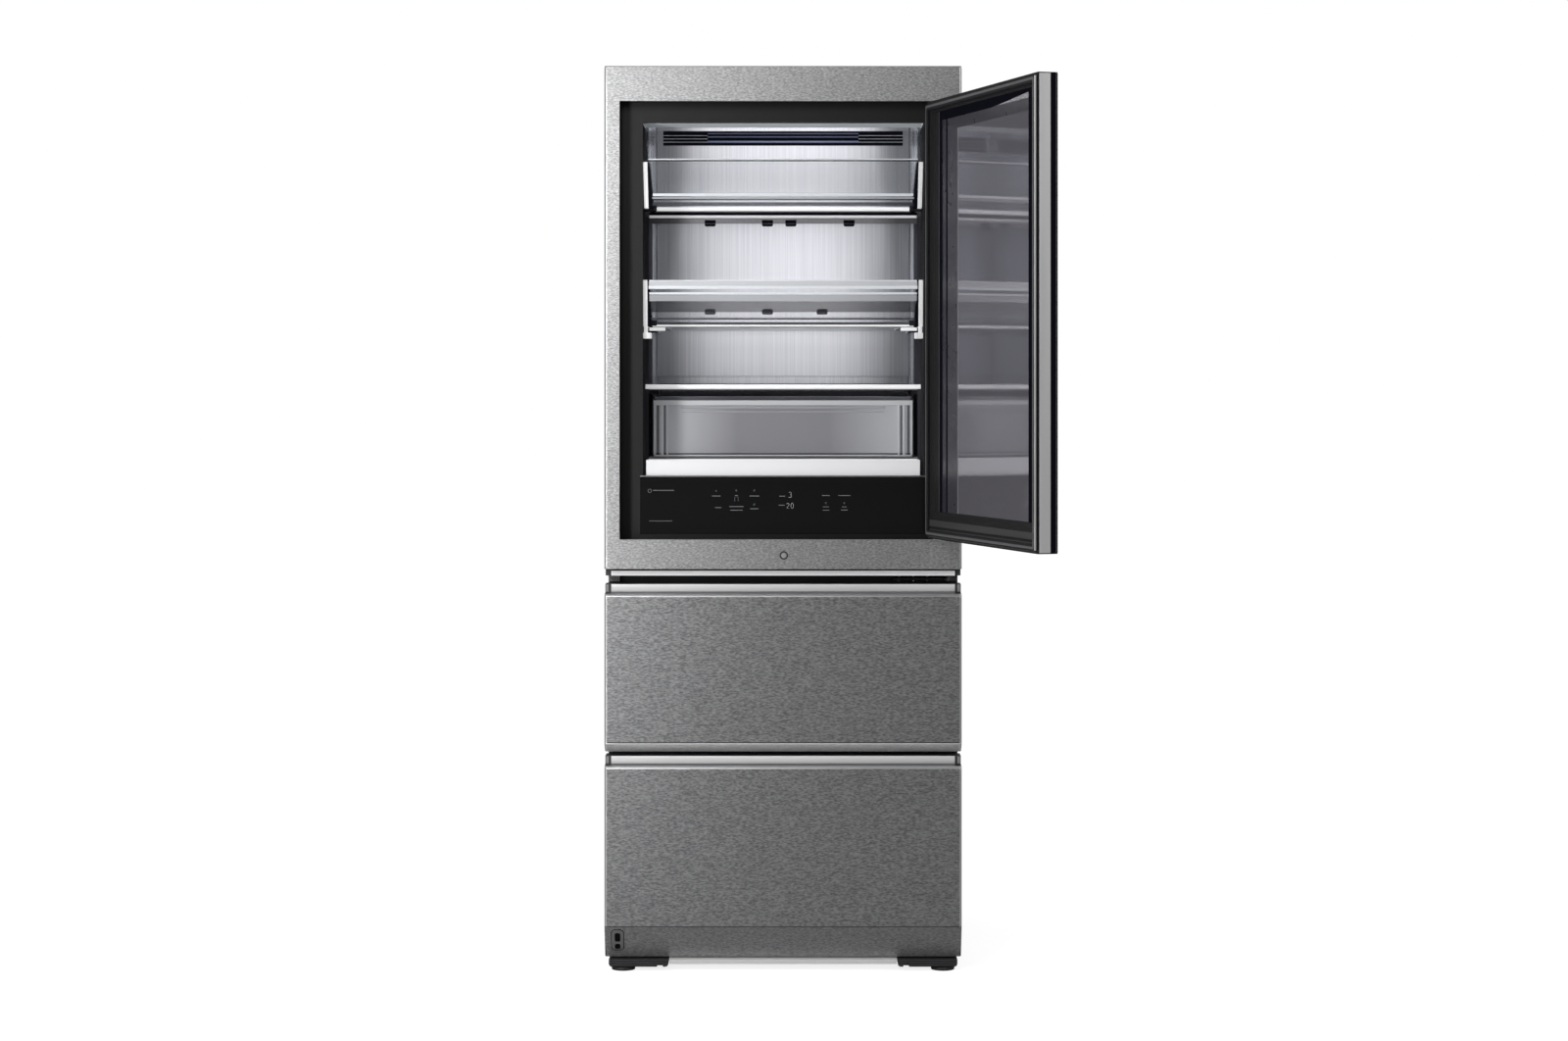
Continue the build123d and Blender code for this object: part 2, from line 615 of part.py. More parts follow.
def divider_shelf():
    """The deck between the crisper and the fresh drawer."""
    top = CRISPER_Z - RUN
    deck = slab(wide(FRIDGE_HALF - RUN), (SHELF_FRONT, SHELF_BACK), (top - DIVIDER_HEIGHT, top))
    span = (SHELF_FRONT + DIVIDER_RIM, SHELF_BACK - DIVIDER_RIM)
    return deck - slab(wide(FRIDGE_HALF - DIVIDER_END), span, (top - DIVIDER_HEIGHT - 1, top - TRAY_WALL))


def fridge_drawer(z, height):
    """A clear fridge drawer with a pull along its front."""
    front = SHELF_FRONT + DRAWER_SETBACK
    top = z + height
    pull_z = (top - PULL_DROP[0], top - PULL_DROP[1])
    box = tray(CRISPER_HALF, (front, DRAWER_BACK), (z, top), TRAY_WALL)
    return box + slab(wide(CRISPER_HALF - PULL_INSET), (SHELF_FRONT - PULL_REACH, front), pull_z)


def freezer_duct_cover():
    """The panel that hides the coil, with an outlet in front of its fan."""
    cover = slab(wide(FREEZER_HALF - 2), (DUCT_COVER_FRONT, CAVITY_BACK), (FREEZER_STEP, FREEZER_CEILING))
    hollow = slab(wide(FREEZER_HALF - 2 - DUCT_COVER), (DUCT_COVER_FRONT + DUCT_COVER, CAVITY_BACK + 1),
                  (FREEZER_STEP - 1, FREEZER_CEILING - DUCT_COVER))
    cover -= hollow
    through = (DUCT_COVER_FRONT - 1, DUCT_COVER_FRONT + DUCT_COVER + 1)
    for row in range(OUTLET_SLOTS):
        z = FREEZER_FAN_Z + OUTLET_PITCH * (row - (OUTLET_SLOTS - 1) / 2)
        cover -= slab(wide(FAN_R), through, (z - OUTLET_HALF, z + OUTLET_HALF))
    low, high = RETURN_RISE
    for x in RETURN_SLOTS:
        cover -= slab((x - RETURN_HALF, x + RETURN_HALF), through, (FREEZER_STEP + low, FREEZER_STEP + high))
    return cover


def evaporator():
    """Aluminium fins pressed on a bent tube."""
    low, high = COIL_Z
    coil = None
    pitch = 2 * COIL_HALF / (COIL_FINS - 1)
    middle = sum(COIL_DEPTH) / 2
    rise = (high - low) / COIL_ROWS
    for row in range(COIL_ROWS):
        z = low + rise * (row + 0.5)
        tube = rod_x(wide(COIL_HALF + COIL_END), middle, z, COIL_TUBE_R)
        coil = tube if coil is None else coil + tube
        if row:
            side = 1 if row % 2 else -1
            x = side * (COIL_HALF + COIL_END)
            coil += post(x, middle, (z - rise - COIL_BEND_R, z + COIL_BEND_R), COIL_BEND_R)
    for fin in range(COIL_FINS):
        x = -COIL_HALF + fin * pitch
        coil += slab((x - COIL_FIN, x + COIL_FIN), COIL_DEPTH, COIL_Z)
    x = (COIL_HALF + COIL_PLATE[0], COIL_HALF + COIL_PLATE[1])
    for plate in mirrored(x, (COIL_DEPTH[0], CAVITY_BACK), COIL_Z):
        coil += plate
    return coil


def fan_wheel(radius, hub, depth, blades):
    """A fan with pitched blades, its axis along Z and its hub's foot at zero."""
    middle = Pos(0, 0, depth / 2)
    wheel = middle * Cylinder(hub, depth)
    root = hub - BLADE_ROOT
    for blade in range(blades):
        vane = Pos((radius + root) / 2, 0, depth / 2) * Rot(BLADE_PITCH, 0, 0)
        vane *= Box(radius - root, depth * BLADE_REACH, BLADE)
        wheel += Rot(0, 0, blade * 360 / blades) * vane
    wheel &= middle * Cylinder(radius, depth)
    return wheel - middle * Cylinder(FAN_SHAFT_R + PIN_CLEAR, depth + 2)


def evaporator_fan():
    wheel = fan_wheel(FAN_R, FAN_HUB_R, FAN_DEPTH, FAN_BLADES)
    back = DUCT_COVER_FRONT + FREEZER_FAN_GAP + FAN_DEPTH
    return Pos(0, FRONT + back, FREEZER_FAN_Z) * Rot(90, 0, 0) * wheel


def evaporator_fan_motor():
    """The motor on the liner's back, with its shaft and a cross of arms."""
    front = DUCT_COVER_FRONT + FREEZER_FAN_GAP + FAN_DEPTH + RUN
    z = FREEZER_FAN_Z
    motor = rod_y(0, (front, CAVITY_BACK), z, MOTOR_R)
    motor += rod_y(0, (DUCT_COVER_FRONT + FREEZER_FAN_GAP - 2, front + 1), z, FAN_SHAFT_R)
    plate = (CAVITY_BACK - MOTOR_ARM_PLATE, CAVITY_BACK)
    reach = FAN_R + FREEZER_FAN_GAP
    motor += slab(wide(reach), plate, (z - MOTOR_ARM, z + MOTOR_ARM))
    return motor + slab(wide(MOTOR_ARM), plate, (z - reach, z + reach))


def compressor():
    """A steel can on a foot plate, with its relay box."""
    low = COMPRESSOR_LOW
    x, d = COMPRESSOR_X, COMPRESSOR_D
    can = post(x, d, (low + COMPRESSOR_LIFT, COMPRESSOR_TOP), COMPRESSOR_R)
    can = fillet(can.edges().filter_by(GeomType.CIRCLE), COMPRESSOR_ROUND)
    half_x = GROMMET_SPREAD[0] + COMPRESSOR_FOOT_RIM
    half_d = GROMMET_SPREAD[1] + COMPRESSOR_FOOT_RIM
    foot = slab((x - half_x, x + half_x), (d - half_d, d + half_d), (low, low + COMPRESSOR_FOOT))
    can += rounded(foot, Axis.Z, COMPRESSOR_FOOT_RIM / 2)
    can += post(x, d, (low, low + COMPRESSOR_ROUND), COMPRESSOR_R - COMPRESSOR_ROUND)
    side, half, rise = RELAY_BOX
    edge = x + COMPRESSOR_R
    return can + slab((edge + side[0], edge + side[1]), (d - half, d + half), (low + rise[0], low + rise[1]))


def compressor_grommets():
    spread_x, spread_d = GROMMET_SPREAD
    places = [(sx * spread_x, sd * spread_d) for sx in (-1, 1) for sd in (-1, 1)]
    z = (BASE_TOP, BASE_TOP + GROMMET_HEIGHT)
    return group([post(COMPRESSOR_X + x, COMPRESSOR_D + d, z, GROMMET_R) for x, d in places])


def condenser():
    """A block of plates on six tubes, standing on the base."""
    low = BASE_TOP
    x0, x1 = CONDENSER_X
    pitch = (x1 - x0) / (CONDENSER_PLATES - 1)
    block = None
    for plate in range(CONDENSER_PLATES):
        x = x0 + pitch * plate
        fin = slab((x - CONDENSER_FIN, x + CONDENSER_FIN), CONDENSER_D, (low, CONDENSER_TOP))
        block = fin if block is None else block + fin
    for d in (CONDENSER_D[0] + CONDENSER_TUBE_INSET, CONDENSER_D[1] - CONDENSER_TUBE_INSET):
        for rise in CONDENSER_TUBE_RISES:
            block += rod_x((x0 - 8, x1 + 8), d, low + rise, CONDENSER_TUBE_R)
    return block


def cooling_fan():
    wheel = fan_wheel(COOLING_FAN_R, COOLING_HUB_R, COOLING_FAN_DEPTH, COOLING_BLADES)
    return Pos(COOLING_FAN_X, FRONT + COMPRESSOR_D, COOLING_FAN_Z) * Rot(0, 90, 0) * wheel


def cooling_fan_motor():
    """The motor and the shroud that carries it on the base."""
    back = COOLING_FAN_X + COOLING_FAN_DEPTH + RUN
    d, z = COMPRESSOR_D, COOLING_FAN_Z
    motor = rod_x((back, back + COOLING_MOTOR), d, z, MOTOR_R)
    motor += rod_x((COOLING_FAN_X - 2, back + 1), d, z, FAN_SHAFT_R)
    span = (COOLING_FAN_X - 4, back + 12)
    shroud = slab(span, (d - SHROUD_HALF, d + SHROUD_HALF), (BASE_TOP, BASE_TOP + SHROUD_HEIGHT))
    shroud -= rod_x((span[0] - 1, back + 8), d, z, COOLING_FAN_R + 5)
    near, far = SHROUD_PORT
    for low, high in ((z - far, z - near), (z + near, z + far)):
        shroud -= slab((back, span[1] + 1), (d - SHROUD_PORT_HALF, d + SHROUD_PORT_HALF), (low, high))
    return shroud + motor


def drip_tray():
    """The pan on top of the warm compressor, where melt water dries."""
    low, wall = COMPRESSOR_TOP, PAN_WALL
    x0, x1 = COMPRESSOR_X - PAN_HALF[0], COMPRESSOR_X + PAN_HALF[0]
    d0, d1 = COMPRESSOR_D - PAN_HALF[1], COMPRESSOR_D + PAN_HALF[1]
    pan = slab((x0, x1), (d0, d1), (low, low + PAN_HEIGHT))
    return pan - slab((x0 + wall, x1 - wall), (d0 + wall, d1 - wall), (low + wall, low + PAN_HEIGHT + 1))


def rear_cover():
    """The slotted plate over the machine room, with a hole for the cable gland."""
    cover = slab(wide(INSIDE), (BASE_BACK, BODY_DEPTH), (BASE_Z, MACHINE_TOP))
    width, height = SLOT
    through = (BASE_BACK - 1, BODY_DEPTH + 1)
    for column in range(-2, 3):
        for row in range(6):
            x, z = column * SLOT_PITCH[0], BASE_Z + SLOT_RISE + row * SLOT_PITCH[1]
            cover -= slab((x - width / 2, x + width / 2), through, (z, z + height))
    return cover - rod_y(GLAND_X, through, GLAND_Z, GLAND_R)


def cable_gland():
    """A flanged rubber bush in the rear cover, where the mains lead would leave."""
    inner = BASE_BACK - GLAND_RIM
    gland = rod_y(GLAND_X, (inner, BODY_DEPTH), GLAND_Z, GLAND_R)
    gland += rod_y(GLAND_X, (inner, BASE_BACK), GLAND_Z, GLAND_R + GLAND_RIM)
    return gland - rod_y(GLAND_X, (inner - 1, BODY_DEPTH + 1), GLAND_Z, GLAND_R / 2)


def base_frame():
    """The steel base: its plate, the rail for the kick plate, the blocks for the feet, and the rollers' forks."""
    base = slab(wide(INSIDE), (FOAM_FRONT, BASE_BACK), (BASE_Z, BASE_TOP))
    base += slab(wide(FOOT_BRACKET[0]), (FOAM_FRONT, FOAM_FRONT + RAIL), (UNDER_DRAWER, BASE_Z))
    base += slab(wide(FOOT_BRACKET[0]), (FOAM_FRONT, FOAM_FRONT + KICK_HOLD), (UNDER_DRAWER, UNDER_DRAWER + RAIL))
    for side in (-1, 1):
        base += foot_block(side)
        base += roller_fork(side * ROLLER_X)
    return base


def foot_block(side):
    """A block that runs forward under the drawer, notched at its front, with the bore of one foot's screw."""
    inner, outer = FOOT_BRACKET
    foot = FOOT_BRACKET_LIFT
    x = tuple(sorted((side * inner, side * outer)))
    block = slab(x, FOOT_BRACKET_D, (foot, BASE_Z))
    block = fillet(block.edges().filter_by(Axis.Y).group_by(Axis.Z)[0], FOOT_BRACKET_ROUND)
    block -= slab(x, (FOOT_BRACKET_D[0] - 1, FOAM_FRONT), (UNDER_DRAWER, BASE_Z + 1))
    notch = tuple(sorted((side * (inner + FOOT_NOTCH[0]), side * (inner + FOOT_NOTCH[1]))))
    front = FOOT_BRACKET_D[0]
    block -= slab(notch, (front - 1, front + FOOT_NOTCH_DEPTH), (foot - 1, foot + FOOT_NOTCH_HEIGHT))
    return block - post(side * FOOT_X, FOOT_D, (foot - 1, UNDER_DRAWER - 2), FOOT_STEM_R + PIN_CLEAR)


def roller_fork(x):
    """Two cheeks and the axle between them."""
    reach = ROLLER_WIDTH / 2 + RUN
    fork = rod_x((x - reach - CHEEK, x + reach + CHEEK), ROLLER_D, ROLLER_R, AXLE_R)
    for way in (-1, 1):
        span = tuple(sorted((x + way * reach, x + way * (reach + CHEEK))))
        fork += slab(span, (ROLLER_D - FORK_HALF, ROLLER_D + FORK_HALF), (ROLLER_R - FORK_DROP, BASE_Z))
    return fork


def hinge_screws():
    """Screws down into the roof, and back into the bar over the freezer."""
    top = BODY_TOP + HINGE_PLATE
    screws = []
    for inset, d in TOP_SCREWS:
        x = HALF_BODY - inset
        head = post(x, d, (top, top + SCREW_HEAD), SCREW_HEAD_R)
        screws.append(head + post(x, d, (top - SCREW_SUNK, top), SCREW_R))
    middle = UPPER_TOP + HINGE_GAP / 2
    face = BODY_FRONT - FLANGE
    for back in SMALL_SCREWS:
        for rise in (-SMALL_SCREW_RISE, SMALL_SCREW_RISE):
            x, z = HINGE_X - back, middle + rise
            screw = rod_y(x, (face - SMALL_HEAD, face), z, SMALL_HEAD_R)
            screws.append(screw + rod_y(x, (face, face + SCREW_SUNK), z, SMALL_SCREW_R))
    return screws


def levelling_foot(side):
    """A round pad on a screw."""
    pad = post(side * FOOT_X, FOOT_D, (0, FOOT_PAD - RUN), FOOT_R)
    pad = fillet(pad.edges().filter_by(GeomType.CIRCLE).sort_by(Axis.Z)[-1], 3)
    return pad + post(side * FOOT_X, FOOT_D, (FOOT_PAD - 2, UNDER_DRAWER - 4), FOOT_STEM_R)


def rear_roller(side):
    x, half = side * ROLLER_X, ROLLER_WIDTH / 2
    roller = rod_x((x - half, x + half), ROLLER_D, ROLLER_R, ROLLER_R)
    return roller - rod_x((x - half - 1, x + half + 1), ROLLER_D, ROLLER_R, AXLE_R + PIN_CLEAR)


def kick_plate():
    """An upright strip below the drawer and the flange that holds it under the base's rail."""
    plate = slab(wide(KICK_HALF), (KICK_FRONT, KICK_FRONT + KICK), (UNDER_DRAWER - KICK_HEIGHT, UNDER_DRAWER))
    return plate + slab(wide(KICK_HALF), (KICK_FRONT, FOAM_FRONT + KICK_HOLD), (UNDER_DRAWER - KICK, UNDER_DRAWER))


def top_hinge():
    """The arm on the cabinet's roof and the pin that drops into the door."""
    z = (BODY_TOP, BODY_TOP + HINGE_PLATE)
    right = COVER_RIGHT - RUN - COVER_WALL
    plate = slab((right - TOP_PLATE_WIDTH, right), (BODY_FRONT + 10, TOP_PLATE_BACK), z)
    plate = rounded(plate, Axis.Z, 8)
    arm = slab((HINGE_X - ARM_HALF, HINGE_X + ARM_HALF), (HINGE_DEPTH, BODY_FRONT + 20), z)
    arm += post(HINGE_X, HINGE_DEPTH, z, ARM_HALF)
    pin = post(HINGE_X, HINGE_DEPTH, (BODY_TOP - PIN_REACH, BODY_TOP + 1), HINGE_PIN_R)
    return plate + arm + pin


def top_hinge_cover():
    """The cap over the arm, as high as the door's top edge."""
    wall, top = COVER_WALL, DOOR_TOP - COVER_WALL
    x = (COVER_RIGHT - TOP_PLATE_WIDTH - 2 * wall - 2 * RUN, COVER_RIGHT)
    cover = slab(x, (BODY_FRONT + 6, TOP_PLATE_BACK + wall + RUN), (BODY_TOP, top))
    cover = rounded(cover, Axis.Z, 6)
    inside = (x[0] + wall, x[1] - wall)
    return cover - slab(inside, (BODY_FRONT, TOP_PLATE_BACK + RUN), (BODY_TOP - 1, top - wall))


def middle_hinge():
    """The bracket between the door and the upper drawer, with the pin the door stands on."""
    middle = UPPER_TOP + HINGE_GAP / 2
    z = (middle - HINGE_PLATE / 2, middle + HINGE_PLATE / 2)
    x = (HINGE_X - MIDDLE_PLATE, HINGE_X + ARM_HALF)
    plate = slab(x, (HINGE_DEPTH + ARM_HALF + 1, BODY_FRONT), z)
    plate += slab((HINGE_X - ARM_HALF, x[1]), (HINGE_DEPTH, BODY_FRONT), z)
    plate += post(HINGE_X, HINGE_DEPTH, z, ARM_HALF)
    plate += slab(x, (BODY_FRONT - FLANGE, BODY_FRONT), (middle - FLANGE_RISE, middle + FLANGE_RISE))
    plate += post(HINGE_X, HINGE_DEPTH, (middle, DOOR_BOTTOM - RUN), HINGE_COLLAR_R)
    return plate + post(HINGE_X, HINGE_DEPTH, (middle, DOOR_BOTTOM + PIN_REACH), HINGE_PIN_R)


def main_door_skin():
    """Brushed sheet: the front of the door with its window, and the two sides."""
    z = (SKIN_FOOT, CAP_TOP)
    skin = front_block(z, None) - front_block(z, None, SHEET)
    high = front_block((CAP_TOP, DOOR_TOP), None)
    skin += high & slab(wide(HALF_DOOR), (0, SHEET), (CAP_TOP - 1, DOOR_TOP))
    return skin - slab(wide(WINDOW_HALF), (-1, SHEET + 1), (WINDOW_LOW, WINDOW_TOP))


def main_door_top_cap():
    """The plastic cap that closes the door's top, with the ridge behind the skin's upper edge."""
    low = CAP_TOP - CAP_HEIGHT
    cap = front_block((low, DOOR_TOP), None, SHEET) & slab(wide(HALF_DOOR), (0, DOOR_DEPTH), (low, DOOR_TOP))
    cap -= slab(wide(HALF_DOOR), (TOP_RIDGE, DOOR_DEPTH + 1), (CAP_TOP, DOOR_TOP + 1))
    bore = (BODY_TOP - PIN_REACH - 1, CAP_TOP + 1)
    return cap - post(HINGE_X, HINGE_DEPTH, bore, HINGE_PIN_R + PIN_CLEAR)


def main_door_bottom_cap():
    """The plastic cap along the door's foot, with the long pocket for fingers."""
    front = STRIP_DEPTH + STRIP
    top = DOOR_BOTTOM + DOOR_GRIP_DEPTH + CAP_WALL
    cap = slab(wide(HALF_DOOR - 2), (front, DOOR_DEPTH), (DOOR_BOTTOM, SKIN_FOOT))
    cap += slab(wide(HALF_DOOR - SHEET - EDGE_RADIUS), (front, LINER_BACK), (DOOR_BOTTOM, top))
    grip = (-GRIP_HALF, HINGE_X - GRIP_TO_HINGE)
    cap -= slab(grip, (front + CAP_WALL, GRIP_BACK), (DOOR_BOTTOM - 1, top - CAP_WALL))
    bore = (DOOR_BOTTOM - 1, DOOR_BOTTOM + PIN_REACH + 1)
    return cap - post(HINGE_X, HINGE_DEPTH, bore, HINGE_PIN_R + PIN_CLEAR)


def glass_door_pins():
    """The two pins in the surround that the glass door turns on, the lower with the collar it stands on."""
    x, d = GLASS_HINGE_X, GLASS_HINGE_DEPTH
    floor, roof = WINDOW_LOW - POCKET, WINDOW_TOP + POCKET
    low = post(x, d, (floor - SURROUND_WALL, GLASS_LOW - RUN), GLASS_PIN_R)
    low += post(x, d, (floor, GLASS_LOW - GLASS_PLATE - RUN), GLASS_COLLAR_R)
    return group([low, post(x, d, (GLASS_TOP + RUN, roof + SURROUND_WALL), GLASS_PIN_R)])


def door_ring():
    """The white inner panel of the door and the deep ring that carries the baskets."""
    outer = RING_HALF + RING_WALL
    panel = slab(wide(HALF_DOOR - 2), (LINER_BACK, DOOR_DEPTH), (SKIN_FOOT, CAP_TOP - CAP_HEIGHT))
    panel += slab(wide(outer), (SURROUND_BACK, RING_BACK), (RING_LOW - RING_WALL, RING_TOP + RING_WALL))
    panel -= slab(wide(RING_HALF), (SURROUND_BACK - 1, RING_BACK + 1), (RING_LOW, RING_TOP))
    reach, depth, height = BASKET_LEDGE
    front = BASKET_FRONT + (BASKET_DEPTH - depth) / 2
    for low, _ in BASKETS:
        panel += mirrored((RING_HALF - reach, RING_HALF), (front, front + depth), (low - height, low))
    return panel


def main_door_foam():
    """Foam, as the slabs between the skin, the surround and the inner panel."""
    edge = WINDOW_HALF + POCKET + SURROUND_WALL
    ring = RING_HALF + RING_WALL
    low = WINDOW_LOW - POCKET - SURROUND_WALL
    top = WINDOW_TOP + POCKET + SURROUND_WALL
    roof = CAP_TOP - CAP_HEIGHT
    floor = DOOR_BOTTOM + DOOR_GRIP_DEPTH + CAP_WALL
    deep = (SURROUND_BACK, LINER_BACK)
    full = (EDGE_RADIUS, LINER_BACK)
    slabs = mirrored((edge, HALF_DOOR - SHEET), full, (floor, roof))
    slabs += mirrored((ring, edge), deep, (low, top))
    slabs.append(slab(wide(edge), full, (top, roof)))
    slabs.append(slab(wide(edge), full, (floor, low)))
    slabs.append(slab(wide(ring), deep, (RING_TOP + RING_WALL, top)))
    slabs.append(slab(wide(ring), deep, (low, RING_LOW - RING_WALL)))
    return group(slabs)


def flared(half, low, high, lean):
    """The outline of something wider at its top, by lean millimetres a side for each one of height."""
    out = half + lean * (high - low)
    return [(-half, low), (half, low), (out, high), (-out, high)]


def basket(low, height):
    """A clear door basket that flares upwards."""
    lean = BASKET_FLARE / height
    inner = BASKET_BOTTOM_HALF - BASKET_WALL + lean * BASKET_WALL
    d = (BASKET_FRONT, BASKET_FRONT + BASKET_DEPTH)
    body = prism_y(flared(BASKET_BOTTOM_HALF, low, low + height, lean), d)
    hollow = flared(inner, low + BASKET_WALL, low + height + 1, lean)
    return body - prism_y(hollow, (d[0] + BASKET_WALL, d[1] - BASKET_WALL))


def basket_trims(low, height):
    """The slanted metal trims on a basket's two ends."""
    trims = []
    for side in (-1, 1):
        near, far = side * BASKET_BOTTOM_HALF, side * (BASKET_BOTTOM_HALF + BASKET_TRIM)
        lean = side * BASKET_FLARE
        band = [(near, low), (far, low), (far + lean, low + height), (near + lean, low + height)]
        trims.append(prism_y(band, (BASKET_FRONT, BASKET_FRONT + BASKET_DEPTH)))
    return trims


def main_door_strip():
    """The bright extrusion in front of the finger pocket."""
    strip = slab(wide(STRIP_HALF), (STRIP_DEPTH, STRIP_DEPTH + STRIP), (DOOR_BOTTOM, SKIN_FOOT))
    return strip + slab(wide(STRIP_HALF), (SHEET, STRIP_DEPTH + 1), (SKIN_FOOT - CAP_WALL, SKIN_FOOT))


def door_surround():
    """The black frame inside the window: its walls, and the face the glass door seals on."""
    half = WINDOW_HALF + POCKET
    low, top = WINDOW_LOW - POCKET, WINDOW_TOP + POCKET
    wall = SURROUND_WALL
    body = slab(wide(half + wall), (SHEET, SURROUND_BACK), (low - wall, top + wall))
    body -= slab(wide(half), (0, SEAL_FACE_DEPTH), (low, top))
    body -= slab(wide(RING_HALF), (0, SURROUND_BACK + 1), (RING_LOW + PANEL_TRIM_HEIGHT, RING_TOP))
    body -= slab(wide(PANEL_HALF), (0, SURROUND_BACK + 1), (PANEL_LOW, RING_LOW + PANEL_TRIM_HEIGHT))
    for z in ((low - wall - 1, low + 1), (top - 1, top + wall + 1)):
        body -= post(GLASS_HINGE_X, GLASS_HINGE_DEPTH, z, GLASS_PIN_R)
    return body


def control_panel():
    """The black glass strip with the touch keys."""
    return slab(wide(PANEL_HALF), (SEAL_FACE_DEPTH, SURROUND_BACK), (PANEL_LOW, RING_LOW))


def control_trim():
    """The dark metal line along the control panel's top."""
    d = (SEAL_FACE_DEPTH - PANEL_TRIM_DEPTH, SURROUND_BACK)
    return slab(wide(PANEL_HALF), d, (RING_LOW, RING_LOW + PANEL_TRIM_HEIGHT))


def lower_rack():
    """The low white fence along the foot of the ring."""
    z = (RING_LOW + PANEL_TRIM_HEIGHT, RING_LOW + PANEL_TRIM_HEIGHT + RACK_HEIGHT)
    d = (SURROUND_BACK + 8, SURROUND_BACK + 8 + BASKET_DEPTH)
    rack = slab(wide(RACK_HALF), d, z)
    rack -= slab(wide(RACK_HALF - 3), (d[0] + RACK_FENCE, d[1] - 3), (z[0] + 3, z[1] + 1))
    return rack + slab(wide(RACK_HALF), (d[0], d[1]), (RING_LOW, z[0] + 1))


def door_seal(low, top, width):
    """A soft seal around the back of a door or drawer front."""
    half = HALF_DOOR - SEAL_INSET
    return frame(half, low, top, width, (DOOR_DEPTH, BODY_FRONT - RUN))


def glass_door_closed():
    """The glass door's pieces, set in the window as when it is shut."""
    low, top, half = GLASS_LOW, GLASS_TOP, GLASS_HALF
    outer = rounded(slab(wide(half), (0, GLASS), (low, top)), Axis.Y, 3)
    step = GLASS_FRAME_STEP
    body = slab(wide(half - step), (GLASS, GLASS_DOOR_DEPTH), (low, top))
    hole_half = half - step - GLASS_FRAME_WIDTH
    hole_z = (low + GLASS_RAIL_HEIGHT, top - GLASS_FRAME_WIDTH)
    body -= slab(wide(hole_half), (GLASS - 1, GLASS_DOOR_DEPTH + 1), hole_z)
    pane_d = (GLASS_DOOR_DEPTH - 1 - GLASS, GLASS_DOOR_DEPTH - 1)
    pane_half = hole_half + REBATE
    pane_z = (hole_z[0] - REBATE, hole_z[1] + REBATE)
    body -= slab(wide(pane_half), (pane_d[0], GLASS_DOOR_DEPTH + 1), pane_z)
    strip_d = (EDGE_STRIP_FRONT, EDGE_STRIP_FRONT + EDGE_STRIP_WIDTH)
    strip = slab((-half, -half + step + 3), strip_d, (low + 2, top - 2))
    body -= strip
    seal = frame(half - GLASS_SEAL_INSET, low + GLASS_SEAL_INSET, top - GLASS_SEAL_INSET, GLASS_SEAL_WIDTH,
                 (GLASS_DOOR_DEPTH, SEAL_FACE_DEPTH - RUN))
    plates = [glass_door_plate((low - GLASS_PLATE, low)), glass_door_plate((top, top + GLASS_PLATE))]
    return {
        "glass_door_outer_glass": outer,
        "glass_door_frame": body,
        "glass_door_inner_glass": slab(wide(pane_half), pane_d, pane_z),
        "glass_door_metalwork": group([strip] + plates),
        "glass_door_seal": seal,
    }


def glass_door_plate(z):
    """A hinge plate on the end of the glass door, with the eye that turns on its pin."""
    edge = GLASS_HALF - GLASS_FRAME_STEP
    leaf = slab((edge - GLASS_PLATE_LENGTH, edge), (GLASS, GLASS + GLASS_PLATE_DEPTH), z)
    leaf += post(GLASS_HINGE_X, GLASS_HINGE_DEPTH, z, GLASS_PLATE_EYE)
    return leaf - post(GLASS_HINGE_X, GLASS_HINGE_DEPTH, (z[0] - 1, z[1] + 1), GLASS_PIN_R + PIN_CLEAR)


def swung(shape):
    """The glass door's piece turned about its hinge to where the door stands open."""
    axis = Axis((GLASS_HINGE_X, FRONT + GLASS_HINGE_DEPTH, 0), (0, 0, 1))
    return shape.rotate(axis, GLASS_OPEN)


def motion_sensor():
    """The small black block at the lower drawer's foot, leaning back with the bevel."""
    back, rise = LOWER_BEVEL
    x = (SENSOR_INSET[0] - HALF_DOOR, SENSOR_INSET[1] - HALF_DOOR)
    z0, z1 = LOWER_LOW + SENSOR_RISE[0], LOWER_LOW + SENSOR_RISE[1]
    d0, d1 = (back * (1 - (height - LOWER_LOW) / rise) for height in (z0, z1))
    return prism_x([(d0 - SENSOR_STAND, z0), (d0, z0), (d1, z1), (d1 - SENSOR_STAND, z1)], x)


def drawer_front(low, top, bevel):
    """One freezer drawer's steel skin, its moulded body with the finger pocket, and its bright strip."""
    skin_top = top - DRAWER_SKIN_DROP
    front = STRIP_DEPTH + STRIP
    skin = front_block((low, skin_top), bevel) - front_block((low, skin_top), bevel, SHEET)
    body = front_block((low, skin_top), bevel, SHEET)
    body &= slab(wide(HALF_DOOR), (0, DOOR_DEPTH), (low, skin_top))
    body += slab(wide(HALF_DOOR - SHEET - 1), (front, DOOR_DEPTH), (skin_top, top))
    body -= slab(wide(GRIP_HALF), (front + CAP_WALL, GRIP_BACK), (top - GRIP_DEPTH, top + 1))
    strip = slab(wide(STRIP_HALF), (STRIP_DEPTH, front), (top - STRIP_HEIGHT, top))
    strip += slab(wide(STRIP_HALF), (SHEET + 1, front), (skin_top, top - STRIP_HEIGHT))
    return skin, body, strip


def freezer_bin(z, back):
    """A freezer bin with the runners under its two sides."""
    body = tray(BIN_HALF, (BIN_FRONT, back), z, TRAY_WALL)
    outer = FREEZER_HALF - RAIL_DEPTH - RUN
    low = z[0] - RUNNER
    for part in mirrored((outer - RUNNER, outer), (DOOR_DEPTH, back), (low, z[0] + RUNNER_HEIGHT)):
        body += part
    for part in mirrored((outer - RUNNER_FLANGE, outer), (DOOR_DEPTH, back), (low, z[0])):
        body += part
    return body


